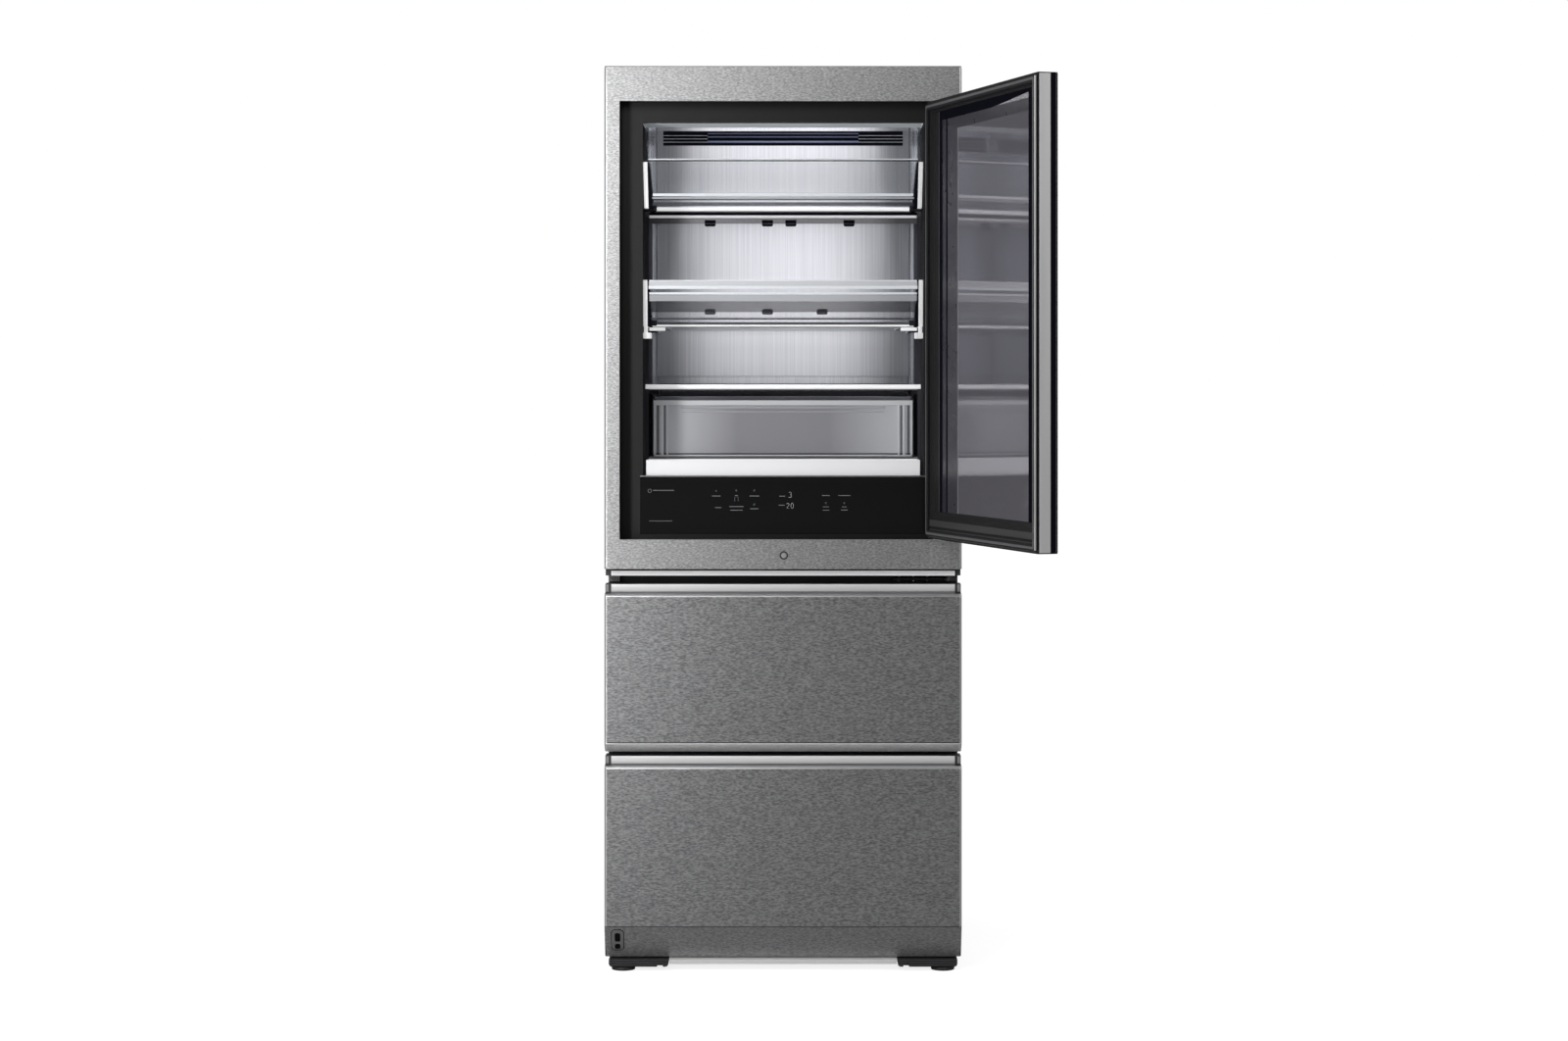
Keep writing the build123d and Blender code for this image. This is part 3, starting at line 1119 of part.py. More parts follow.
def drawer_pieces(name, z, bevel, seal_z, bin_z, bin_back):
    """Every piece of one freezer drawer, by name."""
    skin, body, strip = drawer_front(*z, bevel)
    return {
        name + "_skin": skin,
        name + "_body": body,
        name + "_strip": strip,
        name + "_seal": door_seal(*seal_z, DRAWER_SEAL_WIDTH),
        name + "_bin": freezer_bin(bin_z, bin_back),
    }


def with_holes(shape, screws):
    """Each of the shape's solids with the screws' holes in it."""
    solids = []
    for solid in shape.solids():
        box = solid.bounding_box()
        for screw in screws:
            reach = screw.bounding_box()
            apart = (reach.min.X > box.max.X or reach.max.X < box.min.X or reach.min.Y > box.max.Y
                     or reach.max.Y < box.min.Y or reach.min.Z > box.max.Z or reach.max.Z < box.min.Z)
            if not apart:
                solid = (Part() + solid) - screw
        solids.append(solid)
    return group(solids) if len(solids) > 1 else solids[0]


def cabinet_pieces():
    """The fixed pieces of the cabinet, by name."""
    screws = hinge_screws()
    tops = [top for top, _ in SHELVES] + [CRISPER_COVER_Z]
    crisper_cover = shelf_trim(CRISPER_COVER_Z, CRISPER_COVER_HEIGHT, CRISPER_COVER_RIM)
    return {
        "cabinet_shell": with_holes(cabinet_shell(), screws),
        "front_frame": with_holes(front_frame(), screws),
        "cabinet_foam": with_holes(cabinet_foam(), screws),
        "fridge_liner": fridge_liner(),
        "freezer_liner": freezer_liner(),
        "back_panel": back_panel(),
        "base_frame": base_frame(),
        "kick_plate": kick_plate(),
        "rear_duct_panel": rear_duct_panel(),
        "shelf_glasses": group([shelf_glass(top) for top in tops]),
        "shelf_trims": group([shelf_trim(top, height, SHELF_RIM) for top, height in SHELVES]),
        "crisper_decks": group([crisper_cover, divider_shelf()]),
        "freezer_duct_cover": freezer_duct_cover(),
        "evaporator": evaporator(),
        "evaporator_fan_motor": evaporator_fan_motor(),
        "compressor": compressor(),
        "compressor_grommets": compressor_grommets(),
        "condenser": condenser(),
        "cooling_fan_motor": cooling_fan_motor(),
        "drip_tray": drip_tray(),
        "rear_cover": rear_cover(),
        "cable_gland": cable_gland(),
        "hinge_brackets": with_holes(group([top_hinge(), middle_hinge()]), screws),
        "hinge_screws": group(screws),
        "top_hinge_cover": top_hinge_cover(),
    }


def main_door_pieces():
    """The pieces of the main door, by name."""
    trims = [main_door_strip(), control_trim()]
    for low, height in BASKETS:
        trims += basket_trims(low, height)
    return {
        "main_door_skin": main_door_skin(),
        "main_door_caps": group([main_door_top_cap(), main_door_bottom_cap()]),
        "main_door_trims": group(trims),
        "main_door_foam": main_door_foam(),
        "main_door_seal": door_seal(DOOR_BOTTOM + 8, CAP_TOP - 14, SEAL_WIDTH),
        "door_surround": door_surround(),
        "door_ring": door_ring(),
        "control_panel": control_panel(),
        "door_baskets": group([basket(low, height) for low, height in BASKETS]),
        "lower_rack": lower_rack(),
        "glass_door_pins": glass_door_pins(),
    }


def moving_pieces():
    """The loose movers: fans, feet, rollers and the fridge's drawers, by name."""
    return {
        "evaporator_fan": evaporator_fan(),
        "cooling_fan": cooling_fan(),
        "foot_left": levelling_foot(-1),
        "foot_right": levelling_foot(1),
        "roller_left": rear_roller(-1),
        "roller_right": rear_roller(1),
        "crisper_drawer": fridge_drawer(CRISPER_Z, CRISPER_HEIGHT),
        "fresh_drawer": fridge_drawer(FRIDGE_FLOOR + FRESH_RISE, FRESH_HEIGHT),
        "motion_sensor": motion_sensor(),
    }


def build():
    """Every named piece."""
    parts = cabinet_pieces() | main_door_pieces() | moving_pieces()
    parts |= {name: swung(shape) for name, shape in glass_door_closed().items()}
    upper = ((UPPER_BOTTOM, UPPER_TOP), UPPER_BEVEL, (UPPER_BOTTOM + 3, UPPER_TOP - 6))
    seal_low = FREEZER_FLOOR - DRAWER_SEAL_WIDTH - 4
    lower = ((LOWER_LOW, LOWER_TOP), LOWER_BEVEL, (seal_low, LOWER_TOP - 3))
    parts |= drawer_pieces("upper_drawer", *upper, UPPER_BIN_Z, UPPER_BIN_BACK)
    parts |= drawer_pieces("lower_drawer", *lower, LOWER_BIN_Z, LOWER_BIN_BACK)
    return parts


if __name__ == "__main__":
    os.makedirs("parts", exist_ok=True)
    for name, shape in build().items():
        export_step(shape, f"parts/{name}.step")
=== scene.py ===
import math

import bmesh
import bpy
import numpy as np
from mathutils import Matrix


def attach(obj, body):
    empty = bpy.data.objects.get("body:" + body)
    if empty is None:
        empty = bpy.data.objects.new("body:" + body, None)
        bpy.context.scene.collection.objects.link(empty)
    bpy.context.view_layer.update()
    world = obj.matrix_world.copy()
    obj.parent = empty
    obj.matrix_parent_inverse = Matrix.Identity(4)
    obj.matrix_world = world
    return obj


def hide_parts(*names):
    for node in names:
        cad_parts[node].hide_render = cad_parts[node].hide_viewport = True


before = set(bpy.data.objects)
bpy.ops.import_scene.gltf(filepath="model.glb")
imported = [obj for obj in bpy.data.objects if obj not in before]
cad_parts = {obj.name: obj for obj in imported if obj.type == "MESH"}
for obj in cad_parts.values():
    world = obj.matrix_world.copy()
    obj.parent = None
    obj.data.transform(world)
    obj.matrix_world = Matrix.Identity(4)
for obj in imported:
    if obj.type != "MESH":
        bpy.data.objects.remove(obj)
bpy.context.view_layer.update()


# The camera stands square to the front of the fridge, 6.7 m before its doors and 1.23 m above the floor.
# Its lens is shifted down, so that the uprights stay upright while the whole object is in view.
CAMERA_HEIGHT = 1.230
CAMERA_DISTANCE = 6.7
FRONT = -0.3625
camera = bpy.data.objects.new("camera", bpy.data.cameras.new("camera"))
bpy.context.scene.collection.objects.link(camera)
camera.location = (0, FRONT - CAMERA_DISTANCE, CAMERA_HEIGHT)
camera.rotation_euler = (math.radians(90), 0, 0)
camera.data.sensor_width = 36
camera.data.lens = 72.97
camera.data.shift_x = 0.0006
camera.data.shift_y = -0.0844
bpy.context.scene.camera = camera
bpy.context.scene.view_settings.view_transform = "Standard"


# The studio is a white room that is darker behind the camera, with three soft boxes at the left, a weak one
# at the right, and three narrow lamps in the fridge's mouth, as its own lamps light it.
def add_node(tree, kind, links=(), **values):
    """One node: values go to its inputs by name, and each link joins an output to one of its inputs."""
    node = tree.nodes.new(kind)
    for name, value in values.items():
        node.inputs[name.replace("_", " ")].default_value = value
    for output, name in links:
        tree.links.new(output, node.inputs[name])
    return node


def map_range(tree, value, span, low, high):
    """value, carried from span to low and high, and held there."""
    return add_node(tree, "ShaderNodeMapRange", [(value, "Value")], From_Min=span[0], From_Max=span[1],
                    To_Min=low, To_Max=high).outputs["Result"]


def calculated(tree, operation, *terms):
    """One sum: the operation is done on its terms, each an output or a number."""
    node = tree.nodes.new("ShaderNodeMath")
    node.operation = operation
    for spot, term in zip(node.inputs, terms):
        if isinstance(term, bpy.types.NodeSocket):
            tree.links.new(term, spot)
        else:
            spot.default_value = term
    return node.outputs[0]


WHITE = (1, 1, 1, 1)
ROOM_DIFFUSE = 0.45
world = bpy.data.worlds.new("studio")
bpy.context.scene.world = world
world.use_nodes = True
room = world.node_tree
ways = room.nodes.new("ShaderNodeTexCoord")
split = add_node(room, "ShaderNodeSeparateXYZ", [(ways.outputs["Generated"], "Vector")])
seen_in_metal = map_range(room, split.outputs["Y"], (-0.72, 0.10), 0, 0.45)
rays = room.nodes.new("ShaderNodeLightPath").outputs
metal = add_node(room, "ShaderNodeMix", [(rays["Is Glossy Ray"], "Factor"), (seen_in_metal, "B")],
                 A=ROOM_DIFFUSE)
clear = calculated(room, "MAXIMUM", rays["Is Camera Ray"], rays["Is Transmission Ray"])
level = add_node(room, "ShaderNodeMix", [(clear, "Factor"), (metal.outputs["Result"], "A")], B=1)
room.links.new(level.outputs["Result"], room.nodes["Background"].inputs["Strength"])
room.nodes["Background"].inputs["Color"].default_value = WHITE

for name, place, aim, size, power in (
        ("left_box", (-1, FRONT - 1.4, 1.85), (-0.2, FRONT, 1.6), (0.35, 1.2), 6.3),
        ("tall_box", (-0.8, FRONT - 0.9, 1.1), (-0.2, FRONT, 1), (0.14, 1.8), 8),
        ("high_box", (-0.5, FRONT - 2.2, 2.4), (-0.1, FRONT, 1.8), (0.4, 0.6), 6.8),
        ("right_box", (2.6, -2.4, 2.2), (0, FRONT, 0.9), (0.8, 1.6), 12),
        ("mouth_lamp", (0, -0.150, 1.53), (0, 0.30, 1.53), (0.42, 0.58), 1),
        ("roof_lamp", (0, -0.06, 1.845), (0, 0.05, 1), (0.46, 0.10), 0.95),
        ("deck_lamp", (0, -0.150, 1.36), (0, 0.15, 1.15), (0.44, 0.03), 0.05)):
    lamp = bpy.data.objects.new(name, bpy.data.lights.new(name, "AREA"))
    bpy.context.scene.collection.objects.link(lamp)
    lamp.data.shape = "RECTANGLE"
    lamp.data.size, lamp.data.size_y = size
    lamp.data.energy = power
    lamp.location = place
    way = np.array(aim) - np.array(place)
    lamp.rotation_euler = (math.atan2(math.hypot(way[0], way[1]), -way[2]), 0, math.atan2(-way[0], way[1]))
    lamp.visible_camera = False


# The floor is a pale sheet that runs out of view on all sides.
# It glows a little to the camera alone, so that it meets the white background and still takes the shadow.
def three(value):
    """Three numbers as they are, or a single number three times."""
    return value if isinstance(value, tuple) else (value,) * 3


def grains(material, per_metre, detail=3, kind="ShaderNodeTexNoise"):
    """A noise on Object coordinates, with so many grains in a metre along X, Y and Z."""
    tree = material.node_tree
    place = tree.nodes.new("ShaderNodeTexCoord")
    stretch = add_node(tree, "ShaderNodeMapping", [(place.outputs["Object"], "Vector")],
                       Scale=three(per_metre))
    noise = add_node(tree, kind, [(stretch.outputs["Vector"], "Vector")], Scale=1)
    if "Detail" in noise.inputs:
        noise.inputs["Detail"].default_value = detail
    return noise.outputs["Fac"] if "Fac" in noise.outputs else noise.outputs["Distance"]


def fed(material, socket, value):
    """Joins an output to that input of the shader."""
    material.node_tree.links.new(value, material.node_tree.nodes["Principled BSDF"].inputs[socket])


def glazed(material, pattern, smooth, rough, span=(0.3, 0.7)):
    """The roughness runs from smooth to rough as the pattern crosses span."""
    fed(material, "Roughness", map_range(material.node_tree, pattern, span, smooth, rough))


def raised(material, pattern, height):
    """A relief of that height in metres."""
    bump = add_node(material.node_tree, "ShaderNodeBump", [(pattern, "Height")], Distance=height, Strength=1)
    fed(material, "Normal", bump.outputs["Normal"])


def dress(material, *nodes):
    """Puts a finish on CAD pieces whose shape is kept."""
    for name in nodes:
        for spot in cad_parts[name].material_slots:
            spot.material = material


def surface(name, colour, roughness=0.5, metallic=0, specular=0.5, glow=0, glow_colour=WHITE, gloss=None,
            relief=None, on=()):
    """A node material, with what is the same all over it set on the shader's own sockets, and the CAD pieces
    it goes on. gloss is (grains in a metre, smooth, rough) and relief (grains in a metre, metres high)."""
    material = bpy.data.materials.new(name)
    material.use_nodes = True
    shader = material.node_tree.nodes["Principled BSDF"]
    for socket, value in (("Base Color", (*three(colour), 1)), ("Roughness", roughness),
                          ("Metallic", metallic),
                          ("Specular IOR Level", specular), ("Emission Strength", glow),
                          ("Emission Color", glow_colour)):
        shader.inputs[socket].default_value = value
    if gloss:
        glazed(material, grains(material, gloss[0]), *gloss[1:])
    if relief:
        raised(material, grains(material, relief[0]), relief[1])
    dress(material, *on)
    return material


FLOOR_REACH = 30
floor_finish = surface("studio floor", 0.45, 0.9, relief=(40, 0.0002))
light_path = floor_finish.node_tree.nodes.new("ShaderNodeLightPath")
glow = map_range(floor_finish.node_tree, light_path.outputs["Is Camera Ray"], (0, 1), 0, 0.82)
fed(floor_finish, "Emission Strength", glow)
sheet = bpy.data.meshes.new("floor")
corners = [(x * FLOOR_REACH, y * FLOOR_REACH, 0) for x, y in ((-1, -1), (1, -1), (1, 1), (-1, 1))]
sheet.from_pydata(corners, [], [(0, 1, 2, 3)])
sheet.materials.append(floor_finish)
floor = bpy.data.objects.new("floor", sheet)
bpy.context.scene.collection.objects.link(floor)


# The cabinet is folded from painted steel sheet, closed at the back by a galvanised panel
# and filled with poured foam. Its front flange is dark, so that the gaps between the doors stay dark.
def tinted(material, pattern, dark, light, span=(0.35, 0.65)):
    """The base colour runs from dark to light as the pattern crosses span."""
    ramp = add_node(material.node_tree, "ShaderNodeValToRGB", [(pattern, "Fac")])
    for stop, spot, colour in zip(ramp.color_ramp.elements, span, (dark, light)):
        stop.position, stop.color = spot, (*three(colour), 1)
    fed(material, "Base Color", ramp.outputs["Color"])


def woven(grid, across=False, along=False, caps=False):
    """Faces over a grid of points: face (i, j) joins rows i, i + 1 and columns j, j + 1.
    across and along join the last column or row to the first, and caps fill the first and last rows."""
    rows, columns = grid.shape[:2]
    spots = np.arange(rows * columns).reshape(rows, columns)
    ends = [spots[0][::-1].tolist(), spots[-1].tolist()] if caps else []
    spots = np.hstack([spots, spots[:, :1]]) if across else spots
    spots = np.vstack([spots, spots[:1]]) if along else spots
    quads = np.stack([spots[:-1, :-1], spots[:-1, 1:], spots[1:, 1:], spots[1:, :-1]], axis=-1)
    return grid.reshape(-1, 3), quads.reshape(-1, 4).tolist() + ends


def piece(name, shapes, material, body, replaces=(), wall=0, edge=0, edge_highlight=None):
    """One object from shapes given in millimetres as width, depth behind the door fronts, and height.
    wall gives it a thickness inwards and edge rounds its edges; the last argument is a lighter finish put on
    its rolled edges as a painted highlight."""
    points = np.vstack([shape[0] for shape in shapes]) / 1000
    points[:, 1] += FRONT
    faces, count = [], 0
    for spots, quads in shapes:
        faces += [[count + spot for spot in quad] for quad in quads]
        count += len(spots)
    mesh = bpy.data.meshes.new(name)
    mesh.from_pydata(points.tolist(), [], faces)
    shell = bmesh.new()
    shell.from_mesh(mesh)
    bmesh.ops.remove_doubles(shell, verts=shell.verts, dist=1e-6)
    bmesh.ops.dissolve_degenerate(shell, edges=shell.edges, dist=1e-7)
    bmesh.ops.recalc_face_normals(shell, faces=shell.faces)
    shell.to_mesh(mesh)
    shell.free()
    mesh.shade_smooth()
    mesh.set_sharp_from_angle(angle=math.radians(30))
    mesh.materials.append(material)
    # Rolled edges take the second finish, a painted highlight.
    if edge_highlight:
        mesh.materials.append(edge_highlight)
        normal = np.empty(3 * len(mesh.polygons))
        mesh.polygons.foreach_get("normal", normal)
        x, y, z = normal.reshape(-1, 3).T
        rolled_edge = (np.abs(y) < 0.985) & (np.abs(x) < 0.995) & (y * z < 0.01)
        mesh.polygons.foreach_set("material_index", rolled_edge.astype(np.int32))
    made = bpy.data.objects.new(name, mesh)
    bpy.context.scene.collection.objects.link(made)
    if wall:
        made.modifiers.new("wall", "SOLIDIFY").thickness = wall / 1000
        made.modifiers["wall"].offset = -1
    if edge:
        rounding = made.modifiers.new("edge", "BEVEL")
        rounding.width = edge / 1000
        rounding.segments = 2
        rounding.limit_method = "ANGLE"
    made.modifiers.new("shading", "WEIGHTED_NORMAL").keep_sharp = True
    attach(made, body)
    if replaces:
        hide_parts(*replaces)
    return made


def hoop(rows, closed=False, caps=False, turn=3):
    """Loops round an upright rectangle, each row being (half width, low, top, depth, corner radius).
    A corner's points are its centre plus radius (cos a, sin a), a running through a quarter turn."""
    half, low, top, depth, radius = (column[:, None] for column in np.array(rows, float).T)
    angle = np.radians(np.add.outer([180, 270, 0, 90], np.linspace(0, 90, turn + 1)).ravel())
    side = np.repeat([-1, 1, 1, -1], turn + 1)
    upper = np.repeat([0, 0, 1, 1], turn + 1)
    x = side * (half - radius) + radius * np.cos(angle)
    z = low + radius + upper * (top - low - 2 * radius) + radius * np.sin(angle)
    return woven(np.stack([x, depth + 0 * x, z], axis=-1), across=True, along=closed, caps=caps)


def inset(half, low, top, *rows):
    """Rows for loops inside one rectangle, each given as (how far in, depth, corner radius)."""
    return [(half - i, low + i, top - i, depth, radius) for i, depth, radius in rows]


shell_paint = surface("silver paint", (0.42, 0.43, 0.45), 0.42, metallic=0.55,
                      gloss=((25, 25, 12), 0.42, 0.48))
fleck = grains(shell_paint, 900, detail=2)
tinted(shell_paint, fleck, (0.37, 0.38, 0.4), (0.47, 0.48, 0.5))
raised(shell_paint, fleck, 2e-5)
dress(shell_paint, "cabinet_shell")

zinc_sheet = surface("galvanised sheet", (0.58, 0.59, 0.6), 0.45, metallic=0.85)
spangle = grains(zinc_sheet, 60, kind="ShaderNodeTexVoronoi")
tinted(zinc_sheet, spangle, (0.5, 0.51, 0.52), (0.66, 0.67, 0.69), span=(0.1, 0.8))
glazed(zinc_sheet, spangle, 0.35, 0.55, span=(0.1, 0.8))
dress(zinc_sheet, "back_panel", "rear_cover")

dark_steel = surface("black painted steel", (0.03, 0.03, 0.032), 0.5, specular=0.2)
orange_peel = grains(dark_steel, 350, detail=1)
glazed(dark_steel, orange_peel, 0.34, 0.52)
raised(dark_steel, orange_peel, 4e-5)
dress(dark_steel, "front_frame", "base_frame", "hinge_brackets")

foam = surface("poured foam", (0.8, 0.72, 0.5), 0.95)
cells = grains(foam, 240, detail=4)
tinted(foam, cells, (0.7, 0.62, 0.42), (0.86, 0.79, 0.58))
raised(foam, cells, 0.0006)
dress(foam, "cabinet_foam", "main_door_foam")

# The back panel is stiffened by a groove pressed round its field, and its rim is turned in by a millimetre.
back_rows = inset(371, 285, 1887, (0, 724, 0), (0, 725, 0), (53, 725, 12), (55, 724.5, 11), (60, 724.5, 8),
                  (62, 725, 7))
piece("back_panel_sheet", [hoop(back_rows, caps=True)], zinc_sheet, "cabinet",
      replaces=["back_panel"])


# Two moulded pads on steel screws carry the cabinet's front and let it be levelled.
# Each pad is turned, with a ribbed rim to grip it by and a stem that goes up to its screw.
def turned(profile, centre, axis, steps=40):
    """A profile of (radius r, reach t) turned about an axis through centre: (r cos a, r sin a, t)."""
    radius, reach = np.array(profile, float).T
    angle = np.linspace(0, 2 * math.pi, steps, endpoint=False)
    rings = [np.outer(radius, np.cos(angle)), np.outer(radius, np.sin(angle)),
             np.outer(reach, np.ones(steps))]
    return woven(np.roll(np.stack(rings, axis=-1), axis + 1, axis=-1) + np.array(centre, float), across=True)


FOOT_X, FOOT_D = 338, 33
GRIP_RADIUS = 24.3
pad_rubber = surface("foot rubber", (0.022, 0.022, 0.024), 0.62)
scuff = grains(pad_rubber, 180, detail=4)
tinted(pad_rubber, scuff, (0.016, 0.016, 0.018), (0.04, 0.04, 0.042))
raised(pad_rubber, scuff, 0.0001)
pad_profile = [(0, 0), (23.4, 0), (24.6, 0.7), (25, 1.6), (24.4, 5.6), (23.2, 7.2), (21, 8.2), (17, 8.7),
               (5.2, 8.7), (5, 9.2), (5, 20), (0, 20)]
for name, side, body in (("foot_left", -1, "left_foot"), ("foot_right", 1, "right_foot")):
    shapes = [turned(pad_profile, (side * FOOT_X, FOOT_D, 0), 2, steps=48)]
    for angle in np.linspace(0, 2 * math.pi, 24, endpoint=False):
        spot = (side * FOOT_X + GRIP_RADIUS * math.cos(angle), FOOT_D + GRIP_RADIUS * math.sin(angle), 0)
        shapes.append(turned([(0, 1.9), (0.6, 1.9), (0.6, 5), (0, 5)], spot, 2, steps=8))
    piece(name + "_pad", shapes, pad_rubber, body, replaces=[name])


# The rear rollers are hard plastic wheels with a groove round the tread and a dished face.
# Each turns on its own axle in a fork of the base frame.
roller_plastic = surface("roller plastic", (0.42, 0.42, 0.41), 0.48)
tinted(roller_plastic, grains(roller_plastic, 300), (0.36, 0.36, 0.35), (0.46, 0.46, 0.45))
half_wheel = [(4.05, 7), (8, 7), (9, 9), (14, 9), (15, 8), (15, 2), (14.3, 1.5)]
wheel_profile = [(r, -t) for r, t in half_wheel] + [(r, t) for r, t in half_wheel[::-1]]
wheel_profile.append(wheel_profile[0])
for name, side, body in (("roller_left", -1, "left_roller"), ("roller_right", 1, "right_roller")):
    wheel = turned(wheel_profile, (side * 320, 670, 15), 0, steps=48)
    piece(name + "_wheel", [wheel], roller_plastic, body, replaces=[name])


# The kick plate is a folded strip of bright aluminium between the two feet.
# It is brushed along its length.
# The strip glows faintly, as painted light.
bright_metal = surface("satin aluminium", 0.9, 0.34, metallic=0.2, glow=0.04)
hairline = grains(bright_metal, (14, 700, 2600), detail=2)
tinted(bright_metal, hairline, 0.74, 0.84)
glazed(bright_metal, hairline, 0.28, 0.4)
dress(bright_metal, "kick_plate")


# Behind the rear cover stand the compressor on its four rubber feet, the pan on top of it,
# the condenser and its fan. They are seen only through the cover's slots.
surface("compressor enamel", (0.012, 0.012, 0.013), 0.28, relief=(200, 6e-5),
        on=["compressor", "condenser"])
surface("black rubber", (0.025, 0.025, 0.026), 0.75, relief=(500, 5e-5),
        on=["compressor_grommets", "cable_gland"])
grey_plastic = surface("grey plastic", (0.16, 0.16, 0.17), 0.55, relief=(900, 3e-5),
                       on=["drip_tray", "cooling_fan", "evaporator_fan"])
surface("motor housing", (0.03, 0.03, 0.032), 0.55, relief=(900, 3e-5),
        on=["cooling_fan_motor", "evaporator_fan_motor"])


# Nine zinc-plated screws hold the two hinge brackets, each with a domed head and a round recess in it.
# Three go down into the roof and six back into the bar over the freezer.
def screw(centre, axis, out, radius, head, shank, length):
    """A domed head with a recess, turned about the axis, its reach counted out of the work."""
    dome = [(0, head * 0.55), (radius * 0.3, head * 0.55), (radius * 0.42, head * 0.98),
            (radius * 0.72, head * 0.88), (radius * 0.94, head * 0.5), (radius, 0), (shank, 0),
            (shank, -length), (0, -length - 1)]
    return turned([(r, out * t) for r, t in dome], centre, axis, steps=32)


zinc = surface("zinc plate", (0.62, 0.62, 0.63), 0.32, metallic=1)
tinted(zinc, grains(zinc, 600), (0.54, 0.54, 0.53), (0.7, 0.7, 0.71))
screws = [screw((x, d, 1892), 2, 1, 5.5, 3, 2.9, 13.5) for x, d in ((348, 185), (298, 185), (298, 115))]
screws += [screw((x, 72, z), 1, -1, 2.8, 2, 1.7, 13.5) for x in (247, 277, 307) for z in (820, 830)]
piece("hinge_screw_set", screws, zinc, "cabinet", replaces=["hinge_screws"])

dark_plastic = surface("dark plastic", (0.045, 0.045, 0.048), 0.5)
spark = grains(dark_plastic, 1200, detail=1)
glazed(dark_plastic, spark, 0.42, 0.6)
raised(dark_plastic, spark, 3e-5)
dress(dark_plastic, "top_hinge_cover", "main_door_caps", "upper_drawer_body", "lower_drawer_body")


# Between the two feet the base shows a ribbed black block at each side, and the gap under the door
# has a ribbed stop of grey rubber at its left end.
def prism(outline, axis, ends):
    """An outline in the two other directions, carried along axis 0, 1 or 2 from one end to the other."""
    outline = np.array(outline, float)
    return woven(np.stack([np.insert(outline, axis, end, axis=1) for end in ends]), across=True, caps=True)


def block(x, d, z):
    """A prism between two widths, two depths and two heights."""
    return prism([(x[0], d[0]), (x[1], d[0]), (x[1], d[1]), (x[0], d[1])], 2, z)


def both_sides(*rows):
    """Blocks at the left, then at the right, each row being (nearer and further width, depths, heights)."""
    return [block(sorted((side * near, side * far)), d, z) for side in (-1, 1) for near, far, d, z in rows]


rib_grey = surface("rib grey", (0.42, 0.42, 0.43), 0.5, relief=(900, 3e-5))
ribs = both_sides(*[(244, 366, (7, 8.6), (z, z + 2.4)) for z in (12, 16.6, 21.2)])
piece("foot_block_ribs", ribs, dark_plastic, "cabinet", edge=0.4)
stop = [block((-371 + 4.2 * rib, -369 + 4.2 * rib), (56, 74.5), (819, 831)) for rib in range(6)]
piece("gap_stop_ribs", stop, rib_grey, "cabinet", edge=0.4)
piece("gap_stop", [block((-372, -347.5), (64, 75), (820, 830))], grey_plastic, "cabinet",
      edge=0.4)


# The fridge's inside is a formed liner clad in grey metal, with ledges for its shelves and drawers.
# It is deep-drawn in one with the foam behind it, and its side walls are as smooth as mirrors.
def object_axes(material):
    """The material's own coordinates, split into X, Y and Z."""
    spot = material.node_tree.nodes.new("ShaderNodeTexCoord")
    return add_node(material.node_tree, "ShaderNodeSeparateXYZ", [(spot.outputs["Object"], "Vector")]).outputs


def sideways(material):
    """How far a spot lies from the middle: X without its sign."""
    return calculated(material.node_tree, "ABSOLUTE", object_axes(material)["X"])


def shaded(material, *ramps):
    """The base colour, multiplied by each ramp: a value, its span, and the factors at the span's two ends; it
    paints light and shade into the colour.
    """
    tree = material.node_tree
    product, *others = [map_range(tree, *ramp) for ramp in ramps]
    for factor in others:
        product = calculated(tree, "MULTIPLY", product, factor)
    colour = tree.nodes["Principled BSDF"].inputs["Base Color"].links[0].from_socket
    dimmed = add_node(tree, "ShaderNodeHueSaturation", [(product, "Value"), (colour, "Color")])
    fed(material, "Base Color", dimmed.outputs["Color"])


liner_metal = surface("grey lining", (0.3, 0.31, 0.34), 0.24, metallic=0.9,
                      gloss=((900, 34, 5), 0.18, 0.32))
# Below the top shelf the liner's front part is painted near black and loses its metal sheen, as painted
# shade, and its side walls are painted lighter, as painted light.
tree, axes = liner_metal.node_tree, object_axes(liner_metal)
either = calculated(tree, "MAXIMUM", map_range(tree, axes["Y"], (FRONT + 0.4, FRONT + 0.47), 0, 1),
                    map_range(tree, axes["Z"], (1.6, 1.64), 0, 1))
tinted(liner_metal, either, (0.04, 0.04, 0.046), (0.3, 0.315, 0.35), span=(0, 1))
fed(liner_metal, "Metallic", map_range(tree, either, (0, 1), 0, 0.9))
fed(liner_metal, "Specular IOR Level", map_range(tree, either, (0, 1), 0, 0.5))
shaded(liner_metal, (sideways(liner_metal), (0.2885, 0.2915), 1, 1.3))
dress(liner_metal, "fridge_liner")


# The back panel is folded from upright-brushed sheet and hooked on the liner. It has a louvre at its top
# and black-lined air slots. Behind its openings a black backing stands in for the shade in the duct, as
# painted shade.
def moved(shape, x=0, d=0, z=0):
    """The shape shifted by that much."""
    return shape[0] + np.array((x, d, z)), shape[1]


def nose(half, low, top, front, back):
    """A bar across the fridge with a half-round front: depth = front + r (1 - cos a), height = r sin a."""
    radius = min((top - low) / 2, (back - front) / 2)
    angle = np.linspace(-math.pi / 2, math.pi / 2, 9)
    middle, straight = (low + top) / 2, (top - low) / 2 - radius
    bend = [(front + radius * (1 - math.cos(a)), middle + math.copysign(straight, a) + radius * math.sin(a))
            for a in angle]
    return prism([(back, low)] + bend + [(back, top)], 0, (-half, half))


